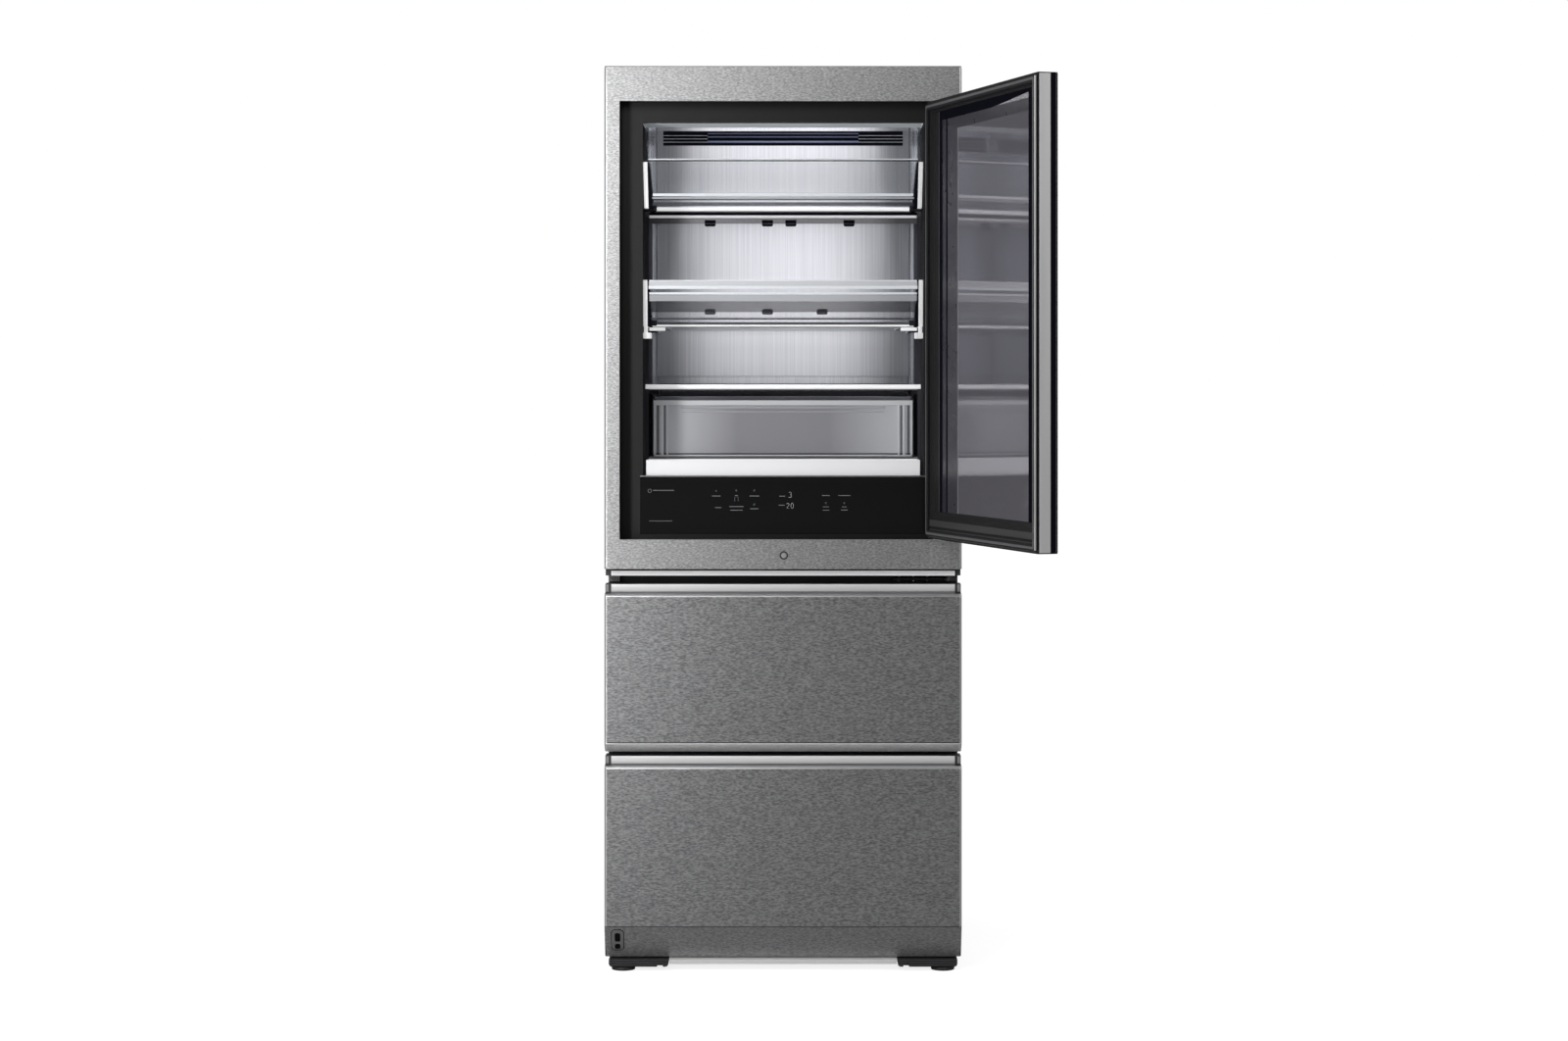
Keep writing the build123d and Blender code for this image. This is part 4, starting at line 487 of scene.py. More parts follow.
niche_grey = surface("niche grey", (0.055, 0.055, 0.062), 0.6, gloss=(60, 0.55, 0.65))
duct_metal = surface("brushed back panel", (0.66, 0.66, 0.69), 0.4, metallic=1)
duct_grain = grains(duct_metal, (480, 480, 3), detail=4)
tinted(duct_metal, duct_grain, (0.56, 0.56, 0.6), (0.67, 0.67, 0.71))
# The panel is painted darker towards its sides, its foot, its upper part and its upper corners, and lighter
# in a strip along its top: painted shade and light.
outward, height = sideways(duct_metal), object_axes(duct_metal)["Z"]
shaded(duct_metal, (outward, (0.225, 0.262), 1, 0.72), (height, (1.32, 1.38), 0.84, 1),
       (height, (1.61, 1.69), 1, 0.8), (height, (1.8225, 1.824), 1, 1.27),
       (calculated(duct_metal.node_tree, "MULTIPLY", outward, height), (0.37, 0.405), 1, 0.82))
glazed(duct_metal, duct_grain, 0.315, 0.345)
dress(duct_metal, "rear_duct_panel")
# A near black for black parts, also put where there is only shade, as painted shade.
black_and_painted_shade = surface("black and painted shade", (0.006, 0.006, 0.01), 0.6, relief=(500, 3e-5), specular=0)
DUCT_FACE = 626
SLOT_ROWS = ((1609, (-168, -36, 18, 152)), (1406, (-168, -36, 90)))
backing = [block((-half, half), (629.2, 631), z)
           for half, z in ((276, (1786, 1822)), (190, (1595, 1626)), (190, (1392, 1423)))]
piece("duct_backing", backing, black_and_painted_shade, "cabinet")
piece("duct_panel_foot", [block((-288, 288), (636.5, 639.4), (1240, 1259))], duct_metal, "cabinet",
      edge=0.8)
piece("crisper_niche_back", [block((-290, 290), (636.5, 639.4), (1196, 1224))], niche_grey, "cabinet",
      edge=0.8)

navy_metal = surface("louvre metal", (0.17, 0.19, 0.29), 0.4, metallic=0.6,
                     gloss=((12, 300, 900), 0.32, 0.5))
plate = [block((-276, 276), (625.4, 626.2), (1788.6, 1822))]
bars = [nose(174, z, z + high, 622.6, DUCT_FACE) for z, high in ((1795, 5.4), (1807.2, 3.2), (1815, 2.4))]
wings = [moved(nose(51, z, z + 1.5, 623.8, DUCT_FACE), x=side * 225) for side in (-1, 1)
         for z in (1796, 1803.4, 1811)]
piece("louvre_plate", plate, black_and_painted_shade, "cabinet", edge=0.3)
piece("louvre_bars", bars, navy_metal, "cabinet")
piece("louvre_wings", wings, zinc_sheet, "cabinet")
slot_rim = hoop(inset(12.8, -6.6, 6.6, (0, DUCT_FACE, 4), (0.2, 624.6, 3.8), (1.4, 624.4, 2.8),
                      (3.8, 626.6, 1.4), (4.2, 629, 1.2)), caps=True)
rims = [moved(slot_rim, x=x, z=z) for z, places in SLOT_ROWS for x in places]
piece("air_slot_rims", rims, black_and_painted_shade, "cabinet")


# The lamp in the roof lies behind a frosted cover that clips into the liner.
# The cover glows, as the lamp behind it is on.
def tub(rows, turn=3):
    """Loops round a level rectangle, each row being (half width, front, back, height, corner radius).
    It is a hoop with depth and height exchanged, closed at its first and its last row."""
    points, faces = hoop(rows, caps=True, turn=turn)
    return points[:, [0, 2, 1]], faces


lamp_cover = surface("frosted lamp cover", (0.92, 0.93, 0.95), 0.55, relief=(700, 4e-5), glow=0.8,
                     glow_colour=(0.93, 0.96, 1, 1))
lens = tub(inset(132, 236, 284, (0, 1850, 6), (2, 1847.2, 5), (6, 1846, 4)))
piece("roof_lamp_cover", [lens], lamp_cover, "cabinet")


# The two shelves and the crisper's cover are plates of toughened glass in trims that rest on the ledges.
# Each has a bright extrusion along its front, and the top one's is the deepest.
def clear_surface(name, colour, clarity, roughness, **values):
    """A clear finish: seen square on it is as thin as clarity says, and along its face it closes up."""
    material = surface(name, colour, roughness=roughness, **values)
    facing = add_node(material.node_tree, "ShaderNodeLayerWeight", Blend=0.35)
    closed = min(1, clarity + 0.6)
    fed(material, "Alpha", map_range(material.node_tree, facing.outputs["Facing"], (0.2, 1), clarity, closed))
    return material


frosted_edge = clear_surface("frosted edge", (0.62, 0.63, 0.66), 0.55, 0.22, relief=(300, 3e-5))
clear_surface("shelf glass", (0.62, 0.7, 0.72), 0.14, 0.03, gloss=(9, 0.02, 0.05), on=["shelf_glasses"])
surface("shelf trim", (0.36, 0.37, 0.39), 0.32, metallic=0.8, gloss=((12, 500, 900), 0.26, 0.4),
        on=["shelf_trims"])
white_plastic = surface("white plastic", (0.82, 0.82, 0.84), 0.32)
milky = grains(white_plastic, 300, detail=2)
glazed(white_plastic, milky, 0.28, 0.4)
raised(white_plastic, milky, 2e-5)
dress(white_plastic, "freezer_liner", "freezer_duct_cover")
# The shelf trims and the bead under the top shelf glow, as painted light.
lit_white = surface("lit white trim", (0.9, 0.9, 0.92), 0.35, relief=(400, 2e-5), glow=0.56)
bead_white = surface("shelf bead", (0.84, 0.83, 0.85), 0.35, relief=(400, 2e-5), glow=0.26,
                     glow_colour=(1, 0.98, 1, 1))
# A dark see-through sheet, laid on the lower basket as painted shade.
shade_glass = clear_surface("see-through shade", (0.022, 0.021, 0.023), 0.4, 0.12, gloss=(20, 0.1, 0.14))
# The apron is a grey sheet hung under the top shelf where a band of shade lies on the back wall, and it is
# painted darker towards its ends: both are painted shade.
apron_shade_grey = surface("apron grey, painted shade", (0.3, 0.295, 0.31), 0.5)
tinted(apron_shade_grey, grains(apron_shade_grey, 300), (0.28, 0.275, 0.29), (0.32, 0.315, 0.33))
shaded(apron_shade_grey, (sideways(apron_shade_grey), (0.19, 0.25), 1, 0.36))

TRIM_BACK = 207
apron_slots = [block((x - 12, x + 12), (204, 205), (1587.4, 1595)) for x in (-158.3, -33.9, 17, 143.3)]
knobs = [turned([(0, -5), (4.4, -5), (5.4, -4), (5.4, 0), (0, 0)], (side * 282, 201.6, 1614.6), 1, steps=24)
         for side in (-1, 1)]
for name, shapes, material, slot, edge in (
        ("shelf_a_front", [nose(290, 1614.4, 1622.6, 199.6, TRIM_BACK)], lit_white, "shelf_trim", 0),
        ("shelf_a_under_rail", [nose(291, 1611.6, 1614, 201, TRIM_BACK)], grey_plastic, "shelf_trim", 0),
        ("shelf_a_apron", [block((-290.6, 290.6), (204.6, 206.6), (1587, 1599.4))], apron_shade_grey, "shelf_trim",
         0),
        ("shelf_a_apron_slots", apron_slots, black_and_painted_shade, "dark_cap", 0.8),
        # The black strip behind the bead is painted shade.
        ("shelf_a_shade_strip", [block((-290.6, 290.6), (204, 206.6), (1605.4, 1611.4))], black_and_painted_shade, "shelf_trim",
         0),
        ("shelf_a_apron_bead", [nose(290, 1599.4, 1605.2, 202.6, 206.6)], bead_white, "shelf_trim", 0),
        ("shelf_b_front", [nose(290, 1363.6, 1367.6, 200.6, TRIM_BACK)], lit_white, "shelf_trim", 0),
        ("shelf_b_top_rail", [nose(291, 1368.2, 1373.6, 201, TRIM_BACK)], grey_plastic, "shelf_trim", 0),
        ("shelf_b_end_brackets", both_sides((255.5, 290.5, (200.4, 206), (1354.6, 1361.6))), lit_white,
         "shelf_trim", 1),
        ("shelf_a_end_caps", knobs, black_and_painted_shade, "dark_cap", 0)):
    piece(name, shapes, material, "cabinet", edge=edge)

# The crisper cover's front glows, as painted light.
cover_white = surface("crisper cover front", (0.9, 0.9, 0.92), 0.35, relief=(400, 2e-5), glow=0.36)
surface("crisper deck", (0.3, 0.3, 0.32), 0.4, relief=(700, 3e-5), on=["crisper_decks"])
piece("crisper_cover_front", [nose(304.6, 1228.2, 1238, 192, 199.4)], cover_white, "cabinet")


# The crisper and the fresh drawer are moulded in clear plastic, with a thick rim, ribs at the corners
# of their fronts and a long pull.
def drawer_tub(half, front, back, low, top, wall=3):
    """A drawer as one closed skin: up its outside, over a rolled rim and down its inside."""
    return tub(inset(half, front, back, (1, low, 7), (0, low + 2, 8), (0, top - 6, 8), (0, top - 5, 8),
                     (0.6, top, 7.4), (wall - 0.6, top, 5.4), (wall, top - 1, 5), (wall, low + wall, 5)),
                     turn=4)


clear_plastic = clear_surface("clear plastic", (0.42, 0.45, 0.49), 0.06, 0.07, gloss=(14, 0.05, 0.1),
                              specular=0.35)
hazy_plastic = clear_surface("hazy plastic", (0.84, 0.85, 0.89), 0.54, 0.14, gloss=(14, 0.1, 0.18),
                             specular=0.35)
# The tubs' plastic is painted darker towards the middle, as painted shade.
tinted(hazy_plastic, sideways(hazy_plastic), (0.43, 0.43, 0.455), (0.88, 0.89, 0.93), span=(0.1, 0.275))
frosted_light = clear_surface("frosted light", (0.84, 0.85, 0.88), 0.75, 0.22, relief=(300, 3e-5))
# Smoky plastic for the drawers' grooves, also laid on the upper basket as painted shade.
smoky = clear_surface("smoky plastic and painted shade", (0.05, 0.052, 0.062), 0.58, 0.25, relief=(300, 2e-5))
PULL_FRONT, FACE_BACK = 193, 195.4
for name, body, low, top in (("crisper_drawer", "crisper", 1081, 1211),
                             ("fresh_drawer", "fresh_box", 882, 1032)):
    upright = (low + 4, top - 18)
    piece(name + "_tub", [drawer_tub(281, 195, 590, low, top)], hazy_plastic, body,
          replaces=[name])
    bars = [nose(281, top - 18.5, top - 7.5, 192.4, FACE_BACK),
            nose(279, low + 1.5, low + 4.5, 193.4, FACE_BACK)]
    bars += both_sides(*[(x - half, x + half, (192.8, FACE_BACK), upright)
                         for x, half in ((278.6, 2.3), (262, 2.4), (251, 1.6))])
    piece(name + "_front_frame", bars, frosted_light, body, edge=0.5)
    grooves = both_sides(*[(x - half, x + half, (193, FACE_BACK), upright)
                           for x, half in ((271.4, 2.6), (256.6, 1.5))])
    grooves += [block((-280.6, 280.6), (193.4, 195.6), (top - 7.3, top - 0.4)),
                block((-279, 279), (193.4, 195.6), (low + 5, low + 8))]
    piece(name + "_front_grooves", grooves, smoky, body, edge=0.3)
    pull = [nose(221, top - 26, top - 20, PULL_FRONT, 198),
            nose(219, top - 34, top - 31, PULL_FRONT + 0.6, 198)]
    piece(name + "_pull", pull, frosted_edge, body, edge=0.5)


# The two freezer bins are deeper tubs on runners, and slide on rails of the liner.
# Behind them the evaporator is of bare aluminium.
DOOR_BACK = 67
for name, body, low, top, back in (("upper_drawer_bin", "upper_drawer", 493, 743, 560),
                                   ("lower_drawer_bin", "lower_drawer", 91, 411, 486)):
    runners = both_sides((305.7, 308.7, (DOOR_BACK, back), (low - 3, low + 34)))
    runners += both_sides((288.7, 308.7, (DOOR_BACK, back), (low - 3, low)))
    piece(name + "_runners", runners, white_plastic, body, replaces=[name])
    piece(name + "_tub", [drawer_tub(298, 74, back, low, top)], clear_plastic, body,
          replaces=[name])
    ribs = both_sides(*[(x - 2, x + 2, (71.6, 74.4), (low + 18, top - 30)) for x in (285, 190, 95)])
    piece(name + "_ribs", ribs, frosted_edge, body, edge=0.5)
surface("coil aluminium", (0.72, 0.72, 0.73), 0.38, metallic=1, gloss=(60, 0.3, 0.46), on=["evaporator"])


# The main door's skin is one sheet of steel, brushed at random, with the window cut in it.
# Its rim is folded back all round the front, and its two sides run on to the back of the door.
def rolled(depth, radius):
    """What a rolled edge still lacks at a depth behind its face: r - sqrt(r^2 - (r - depth)^2)."""
    left = np.maximum(radius - depth, 0)
    return radius - np.sqrt(radius ** 2 - left ** 2)


FRONT_HALF, FRONT_ROLL, SHEET = 377, 6, 0.8
steel = surface("brushed steel", (0.5, 0.5, 0.505), 0.48, metallic=0.93,
                gloss=((60, 60, 160), 0.465, 0.515))
tinted(steel, grains(steel, (165, 165, 460), detail=6), (0.32, 0.32, 0.325), (0.68, 0.68, 0.685),
       span=(0.33, 0.67))
# A lighter steel, put on the rolled edges of the fronts as a painted highlight; the lens disc is of it too.
polished_steel_and_edge_highlight = surface("polished steel and edge highlight", (0.74, 0.74, 0.745), 0.4, metallic=0.95, gloss=(5, 0.38, 0.42))
fold = np.array([0, 0.08, 0.3, 0.7, 1.2, 2, 3, 4.4, 6])
rows = [(344.5, 911, 1835, 3, 0), (344.5, 911, 1835, 0.5, 0), (344.9, 910.6, 1835.4, 0.1, 0),
        (345.3, 910.2, 1835.8, 0, 0)]
rows += [(FRONT_HALF - s, 848 + t, 1909 - t, d, 5 - 0.6 * s)
         for s, t, d in zip(rolled(fold, FRONT_ROLL), rolled(fold, 2), fold)]
skin = [hoop(rows)]
for side in (-1, 1):
    wall = [(FRONT_HALF - rolled(d, FRONT_ROLL), d, 848, 1886.5) for d in (4.4, 6, 66)]
    wall += [(376.2, DOOR_BACK, 849, 1885.5), (366, DOOR_BACK, 849, 1885.5)]
    skin.append(woven(np.array([[(side * x, d, z) for z in heights] for x, d, *heights in wall])))
piece("main_door_skin_sheet", skin, steel, "main_door", replaces=["main_door_skin"],
      wall=SHEET, edge_highlight=polished_steel_and_edge_highlight)


# Under the skin's foot runs a bright extrusion, the outer lip of the finger pocket,
# with a ledge back to the skin. A round lens sits in the skin above it.
STRIP_HALF = 363
STRIP_STEP = 0.03025  # the strips' feet lie a whole number of these steps apart, so one ramp shades all three
STRIP_GRAIN = (5, 400, 1800)
LENS_X, LENS_Z = 1.6, 877.4
bright_strip = surface("bright strip", 0.84, 0.34, metallic=0.15)
strip_grain = grains(bright_strip, STRIP_GRAIN)
tinted(bright_strip, strip_grain, 0.9, 1)
# Each strip's colour is painted darker towards its foot and towards the right, as painted shade.
tree, axes = bright_strip.node_tree, object_axes(bright_strip)
step = calculated(tree, "MULTIPLY_ADD", axes["Z"], 1 / STRIP_STEP, -0.799 / STRIP_STEP)
shaded(bright_strip, (calculated(tree, "FRACT", step), (0.06, 0.5), 0.64, 1),
       (axes["X"], (-0.36, 0.36), 1, 0.86))
glazed(bright_strip, strip_grain, 0.28, 0.4)
# The door's strip glows a little, as painted light.
door_bar = surface("door strip", 0.94, 0.34, metallic=0.1, gloss=(STRIP_GRAIN, 0.28, 0.4), glow=0.14)
piece("main_door_strip_bar", [block((-STRIP_HALF, STRIP_HALF), (14, 17), (834, 845.4))], door_bar,
      "main_door", replaces=["main_door_trims"], edge=0.7)
# The ledge under the skin is black, as painted shade.
piece("main_door_strip_ledge", [block((-STRIP_HALF, STRIP_HALF), (1, 17), (845.2, 848))], black_and_painted_shade,
      "main_door", replaces=["main_door_trims"])
lens_ring = surface("lens ring", (0.085, 0.085, 0.088), 0.45, metallic=0.7, gloss=(900, 0.4, 0.5))
ring = turned([(5.6, 0.9), (5.8, 0), (8.9, 0), (9.3, 0.9), (9.3, 1.4), (5.6, 1.4), (5.6, 0.9)],
              (LENS_X, -0.3, LENS_Z), 1, steps=48)
disc = turned([(0, 0), (5, 0), (5.7, 0.2), (5.7, 1.4), (0, 1.4)], (LENS_X, -0.15, LENS_Z), 1, steps=48)
piece("lens_ring", [ring], lens_ring, "main_door")
piece("lens_disc", [disc], polished_steel_and_edge_highlight, "main_door")


# Inside the window a moulded black surround holds the control panel and carries the glass door's pins.
# The panel is a strip of black glass with keys printed on it, under a thin metal line.
def stroke(points, width, depth):
    """A flat line of that width on an upright face, along points of width and height."""
    line = np.array(points, float)
    way = np.gradient(line, axis=0)
    out = np.stack([-way[:, 1], way[:, 0]], axis=-1) * (width / 2 / np.linalg.norm(way, axis=1)[:, None])
    sides = np.stack([line - out, line + out], axis=1)
    return woven(np.insert(sides, 1, depth, axis=2))


def arc(x, z, radius, start, stop, steps=17, upright=1):
    """Points on a circle from one angle to another, in degrees; upright stretches its height."""
    angle = np.radians(np.linspace(start, stop, steps))
    return np.stack([x + radius * np.cos(angle), z + upright * radius * np.sin(angle)], axis=-1)


black_plastic = surface("black surround", 0.0125, 0.46, specular=0.3)
fine = grains(black_plastic, 800, detail=1)
glazed(black_plastic, fine, 0.4, 0.54)
raised(black_plastic, fine, 2e-5)
dress(black_plastic, "door_surround")
panel_glass = surface("panel glass", (0.0085, 0.0085, 0.009), 0.16, gloss=(30, 0.12, 0.2), specular=0.3)
face = [(303, 920, 1041, 50, 0), (303, 920, 1041, 47.6, 0), (302.3, 920.7, 1040.3, 47, 0),
        (300, 923, 1038.5, 47, 0)]
piece("control_panel_glass", [hoop(face, caps=True)], panel_glass, "main_door",
      replaces=["control_panel"])
line_metal = surface("dark metal line", (0.34, 0.34, 0.345), 0.35, metallic=0.9,
                     gloss=((8, 500, 1200), 0.3, 0.42))
piece("control_trim_bar", [nose(303, 1041.2, 1044.8, 44.2, 50)], line_metal, "main_door",
      replaces=["main_door_trims"])

PRINT_D = 46.93
print_grey = surface("panel print", (0.22, 0.22, 0.23), 0.5, gloss=(400, 0.45, 0.6))
digit_grey = surface("panel figures", (0.6, 0.6, 0.61), 0.5, gloss=(400, 0.45, 0.6))
word_bars = ((-142, 1001, 9), (-99, 1002, 3), (-61, 1001, 10), (-138, 976.5, 6.5), (-99, 978.6, 15),
             (-99, 971, 13),
             (-61, 974, 9), (-2, 1000.6, 6), (-3, 981.6, 6.5), (91, 1002, 8), (130, 1002, 13), (91, 978, 6.5),
             (91, 971, 7), (130, 978, 5), (130, 971.5, 7))
lines = [([(x - half, z), (x + half, z)], 1.3) for x, z, half in word_bars]
lines += [(arc(x, z, 1.5, 20, 340), 0.6)
          for x, z in ((-142, 1012), (-99, 1012.6), (-61, 1012.6), (-61, 983), (91, 986), (130, 986))]
lines += [([(-102.5, 990), (-102.5, 999), (-95.5, 999), (-95.5, 990)], 0.6),
          (arc(-283, 1012, 3.6, 0, 360, 33), 0.8),
          ([(-276, 1013), (-232, 1013)], 1.3), ([(-284, 948), (-236, 948)], 0.8)]
piece("panel_print", [stroke(line, width, PRINT_D) for line, width in lines], print_grey, "main_door")
figures = [np.vstack([arc(14.8, 1006.4, 2.9, 150, -80), arc(14.8, 1000.9, 3.1, 80, -150)]),
           np.vstack([arc(10.2, 983.2, 2.5, 160, -20), [(7.9, 975), (12.9, 975)]]),
           arc(19.3, 980.4, 2.8, 0, 360, 33, upright=5.5 / 2.8)]
piece("panel_figures", [stroke(line, 0.7, PRINT_D) for line in figures], digit_grey, "main_door")


# The white inner panel of the door carries a deep ring, in which the baskets hang.
# The door is filled with foam and closed by moulded caps at its top and foot.
ring_plastic = surface("ring lining", (0.2, 0.205, 0.22), 0.3, specular=0)
streaks = grains(ring_plastic, (500, 60, 4))
# The ring is near black with faint streaks, and a band along its top inner face is painted white, as painted
# light.
tree, axes = ring_plastic.node_tree, object_axes(ring_plastic)
soffit = calculated(tree, "COMPARE", axes["Z"], 1.794, 0.0025)
inner = calculated(tree, "MULTIPLY", soffit, map_range(tree, axes["Y"], (FRONT + 0.068, FRONT + 0.069), 0, 1))
either = calculated(tree, "MAXIMUM", inner, map_range(tree, streaks, (0.4, 0.7), 0, 0.035))
tinted(ring_plastic, either, (0.024, 0.024, 0.028), (0.95, 0.96, 0.98), span=(0, 1))
glazed(ring_plastic, streaks, 0.22, 0.34)
dress(ring_plastic, "door_ring")
# The rack glows a little, as painted light.
surface("rack white", (0.84, 0.84, 0.86), 0.32, relief=(300, 2e-5), glow=0.16, on=["lower_rack"])
piece("rack_line", [block((-290.6, 290.6), (59.2, 61), (1054.2, 1056.4))], grey_plastic, "main_door")


# Each basket is a clear tub that widens upwards, with its floor above a skirt.
# A slanted strip of bent metal closes each end, and its foot hooks under the lower basket.
# The bright lines along the baskets' fronts glow, as painted highlights.
basket_highlight_white = surface("basket rim highlight", (0.82, 0.84, 0.88), 0.25, relief=(200, 2e-5), glow=0.12,
                       glow_colour=(0.9, 0.94, 1, 1))
# The bent end trims glow, as painted light.
end_metal = surface("bent end trim", (0.86, 0.86, 0.87), 0.28, metallic=0.6,
                    gloss=((400, 400, 12), 0.22, 0.34), glow=0.4)
for name, low, top, floor_z in (("upper_basket", 1621, 1718, 1640.5), ("lower_basket", 1375, 1460, 1382)):
    rows = [(275.5, 66, 170, floor_z - 3, 4), (275.5, 65, 171, low + 0.6, 5), (276, 64, 172, low, 5),
            (279, 62.6, 173.4, low + 1, 7), (288, 62, 174, top - 2, 8), (287.4, 62.6, 173.4, top, 7.4),
            (286.2, 63.8, 172.2, top, 6.4), (285.2, 64.4, 171.6, top - 2, 6),
            (277.4, 65.4, 170.6, floor_z, 5)]
    piece(name + "_tub", [tub(rows, turn=4)], clear_plastic, "main_door",
          replaces=["door_baskets"])
upper_lines = [nose(277, 1638.2, 1644.2, 60.4, 63.4), nose(286.6, 1715.4, 1718, 60.8, 62.6)]
lower_lines = [nose(286, 1440.6, 1447.8, 60.2, 63.2), nose(284.6, 1457.2, 1460, 60.8, 62.6),
               nose(284.6, 1429.2, 1433.8, 60.8, 63)]
# Dark see-through bands laid on the baskets' fronts are painted shade.
shades = [block((-half, half), (61.2, 63.2), z)
          for half, z in ((278, (1629.6, 1632.4)), (277.6, (1617.6, 1625.4)), (286.8, (1712, 1715.2)))]
for name, shapes, material in (
        ("upper_basket_lines", upper_lines, basket_highlight_white), ("lower_basket_lines", lower_lines, basket_highlight_white),
        ("lower_basket_lip", [nose(285.4, 1447.6, 1457.4, 60.9, 62.6)], frosted_light),
        ("lower_basket_band", [nose(284.4, 1415, 1428.4, 61, 62.8)], frosted_edge),
        ("lower_basket_shade", [block((-282, 282), (61.4, 63.4), (1391.6, 1414.6))], shade_glass),
        ("lower_basket_foot_line", [block((-282, 282), (61.4, 63.4), (1375.4, 1379.4))], smoky),
        ("upper_basket_shade", shades, smoky),
        ("upper_basket_band", [block((-278.4, 278.4), (61.2, 63.2), (1632.6, 1636.2))], frosted_edge)):
    piece(name, shapes, material, "main_door")
for name, top, foot, lean in (("upper_basket", 1711, 1613, 2.6), ("lower_basket", 1460, 1361, 0.6)):
    plates, shade_strips = [], []
    for side in (-1, 1):
        for store, near, far, drawn, front in ((plates, 288.8, 297.8, lean, 60),
                                               (shade_strips, 285.4, 288.8, 2.2 * lean + 2, 61.2)):
            outline = [(near - drawn, foot), (far - lean, foot), (far, top), (near, top)]
            store.append(prism([(side * x, z) for x, z in outline], 1, (front, 173)))
    if name == "lower_basket":
        plates += both_sides((281.5, 297.6, (60, 120), (1336, 1348)))
        plates += both_sides((290, 296, (60.4, 120), (1347, 1362)))
    piece(name + "_end_plates", plates, end_metal, "main_door", replaces=["main_door_trims"],
          edge=0.5)
    # The black strips between each tub and its end plates are painted shade.
    piece(name + "_end_shade_strips", shade_strips, black_and_painted_shade, "main_door")


# Seals of soft grey rubber run round every front, with a magnet in their face and a bellows behind it.
# Each sits on the back of its door or drawer.
def gasket(half, low, top, width, depth, height):
    """A closed section carried round a rectangle: a foot, a waist, and a rounded face."""
    section = [(0.1, 0), (0.02, 0.18), (0.16, 0.36), (0, 0.55), (0.02, 0.86), (0.14, 1), (0.86, 1),
               (0.98, 0.86), (1, 0.55), (0.84, 0.36), (0.98, 0.18), (0.9, 0)]
    rows = [(u * width, depth + v * height, 6 * (1 - u)) for u, v in section]
    return hoop(inset(half, low, top, *rows), closed=True, turn=4)


seal_rubber = surface("grey seal", (0.2, 0.2, 0.21), 0.65, relief=(600, 3e-5))
for name, low, top, width in (("main_door", 842, 1872.5, 17), ("upper_drawer", 464, 810, 11),
                              ("lower_drawer", 60, 450, 11)):
    piece(name + "_gasket", [gasket(352, low, top, width, DOOR_BACK, 7.7)], seal_rubber, name,
          replaces=[name + "_seal"])


# The glass door is built shut and turned on its pins to where it stands open.
# Its outer pane has ground edges, and the frame glued behind it holds the inner pane.
TURN = math.radians(105.5)
PIN_X, PIN_D = 338.5, 4
INNER_PANE = (972.5, 1805.5)
PANE_BACK = (36.7, 37.2)
DOOR_NODES = {"door_glass": "glass_door_outer_glass", "glass_frame": "glass_door_frame",
              "door_inner_glass": "glass_door_inner_glass", "bright_strip": "glass_door_metalwork",
              "seal_grey": "glass_door_seal"}


def swung(shape):
    """The shape turned about the pins: x' = h + x cos a - y sin a and y' = x sin a + y cos a."""
    points, faces = shape
    x, y = points[:, 0] - PIN_X, points[:, 1] - PIN_D
    across = PIN_X + x * math.cos(TURN) - y * math.sin(TURN)
    back = PIN_D + x * math.sin(TURN) + y * math.cos(TURN)
    return np.stack([across, back, points[:, 2]], axis=-1), faces


def door_piece(name, shapes, material, slot, edge=0):
    """A piece of the glass door, built shut and swung; its slot says which node it stands for."""
    return piece(name, [swung(shape) for shape in shapes], material, "glass_door",
                 replaces=[DOOR_NODES[slot]], edge=edge)


outer_glass = surface("dark outer glass", (0.01, 0.01, 0.012), 0.04, gloss=(20, 0.03, 0.06))
rows = inset(338.5, 915, 1831, (0, 4, 2.6), (-1, 3, 3), (-1, 1, 3), (0, 0, 2.6))
door_piece("outer_pane", [hoop(rows, caps=True)], outer_glass, "door_glass")
ground_edge = surface("ground glass edge", (0.34, 0.35, 0.35), 0.5, relief=(900, 3e-5))
door_piece("outer_pane_edge", [block((-339.4, -338.8), (0.8, 3.4), (917, 1829))], ground_edge, "door_glass")

frame_plastic = surface("door frame", (0.018, 0.018, 0.019), 0.6, gloss=(700, 0.52, 0.68), specular=0.08)
rows = [(309.5, 974, 1804, 4, 0), (337.5, 914, 1832, 4, 2), (337.5, 914, 1832, 39, 2),
        (336.5, 915, 1831, 40, 2),
        (316, 962, 1811, 40, 0), (315.2, 963, 1810.2, 38.6, 0), (311.2, 972, 1806, 37.6, 0),
        (309.5, 974, 1804, 36, 0)]
door_piece("door_frame", [hoop(rows, closed=True)], frame_plastic, "glass_frame")
rail_grey = surface("rail grey", (0.05, 0.05, 0.052), 0.5, relief=(700, 2e-5), specular=0.2)
ridges = [block((-327, 327), (39.4, 41), z) for z in ((917, 935), (940.5, 954))]
door_piece("rail_ridges", ridges, rail_grey, "glass_frame", edge=0.5)
ridges = [block((x, x + 10), (36.6, 39.2), INNER_PANE) for x in (266, 277, 288, 299)]
door_piece("side_ridges", ridges, frame_plastic, "glass_frame", edge=0.5)
# The band along the frame's outer side is black, as painted shade.
bands = [block((-338.2, -337.2), (4.2, 39), (914.6, 1831.4)), block((246, 259.5), (36.4, 38.8), INNER_PANE),
         block((213, 220), (36.4, 37.8), INNER_PANE), block((-311, -281), (36.4, 38.4), INNER_PANE),
         prism([(311, 1806), (-311, 1806), (-311, 1801.5), (-60, 1787), (311, 1787)], 1, (36.4, 38.6))]
door_piece("frame_bands", bands, black_and_painted_shade, "glass_frame")

mirror_glass = surface("dark inner glass", (0.04, 0.04, 0.046), 0.04, metallic=0.46, gloss=(6, 0.03, 0.06))
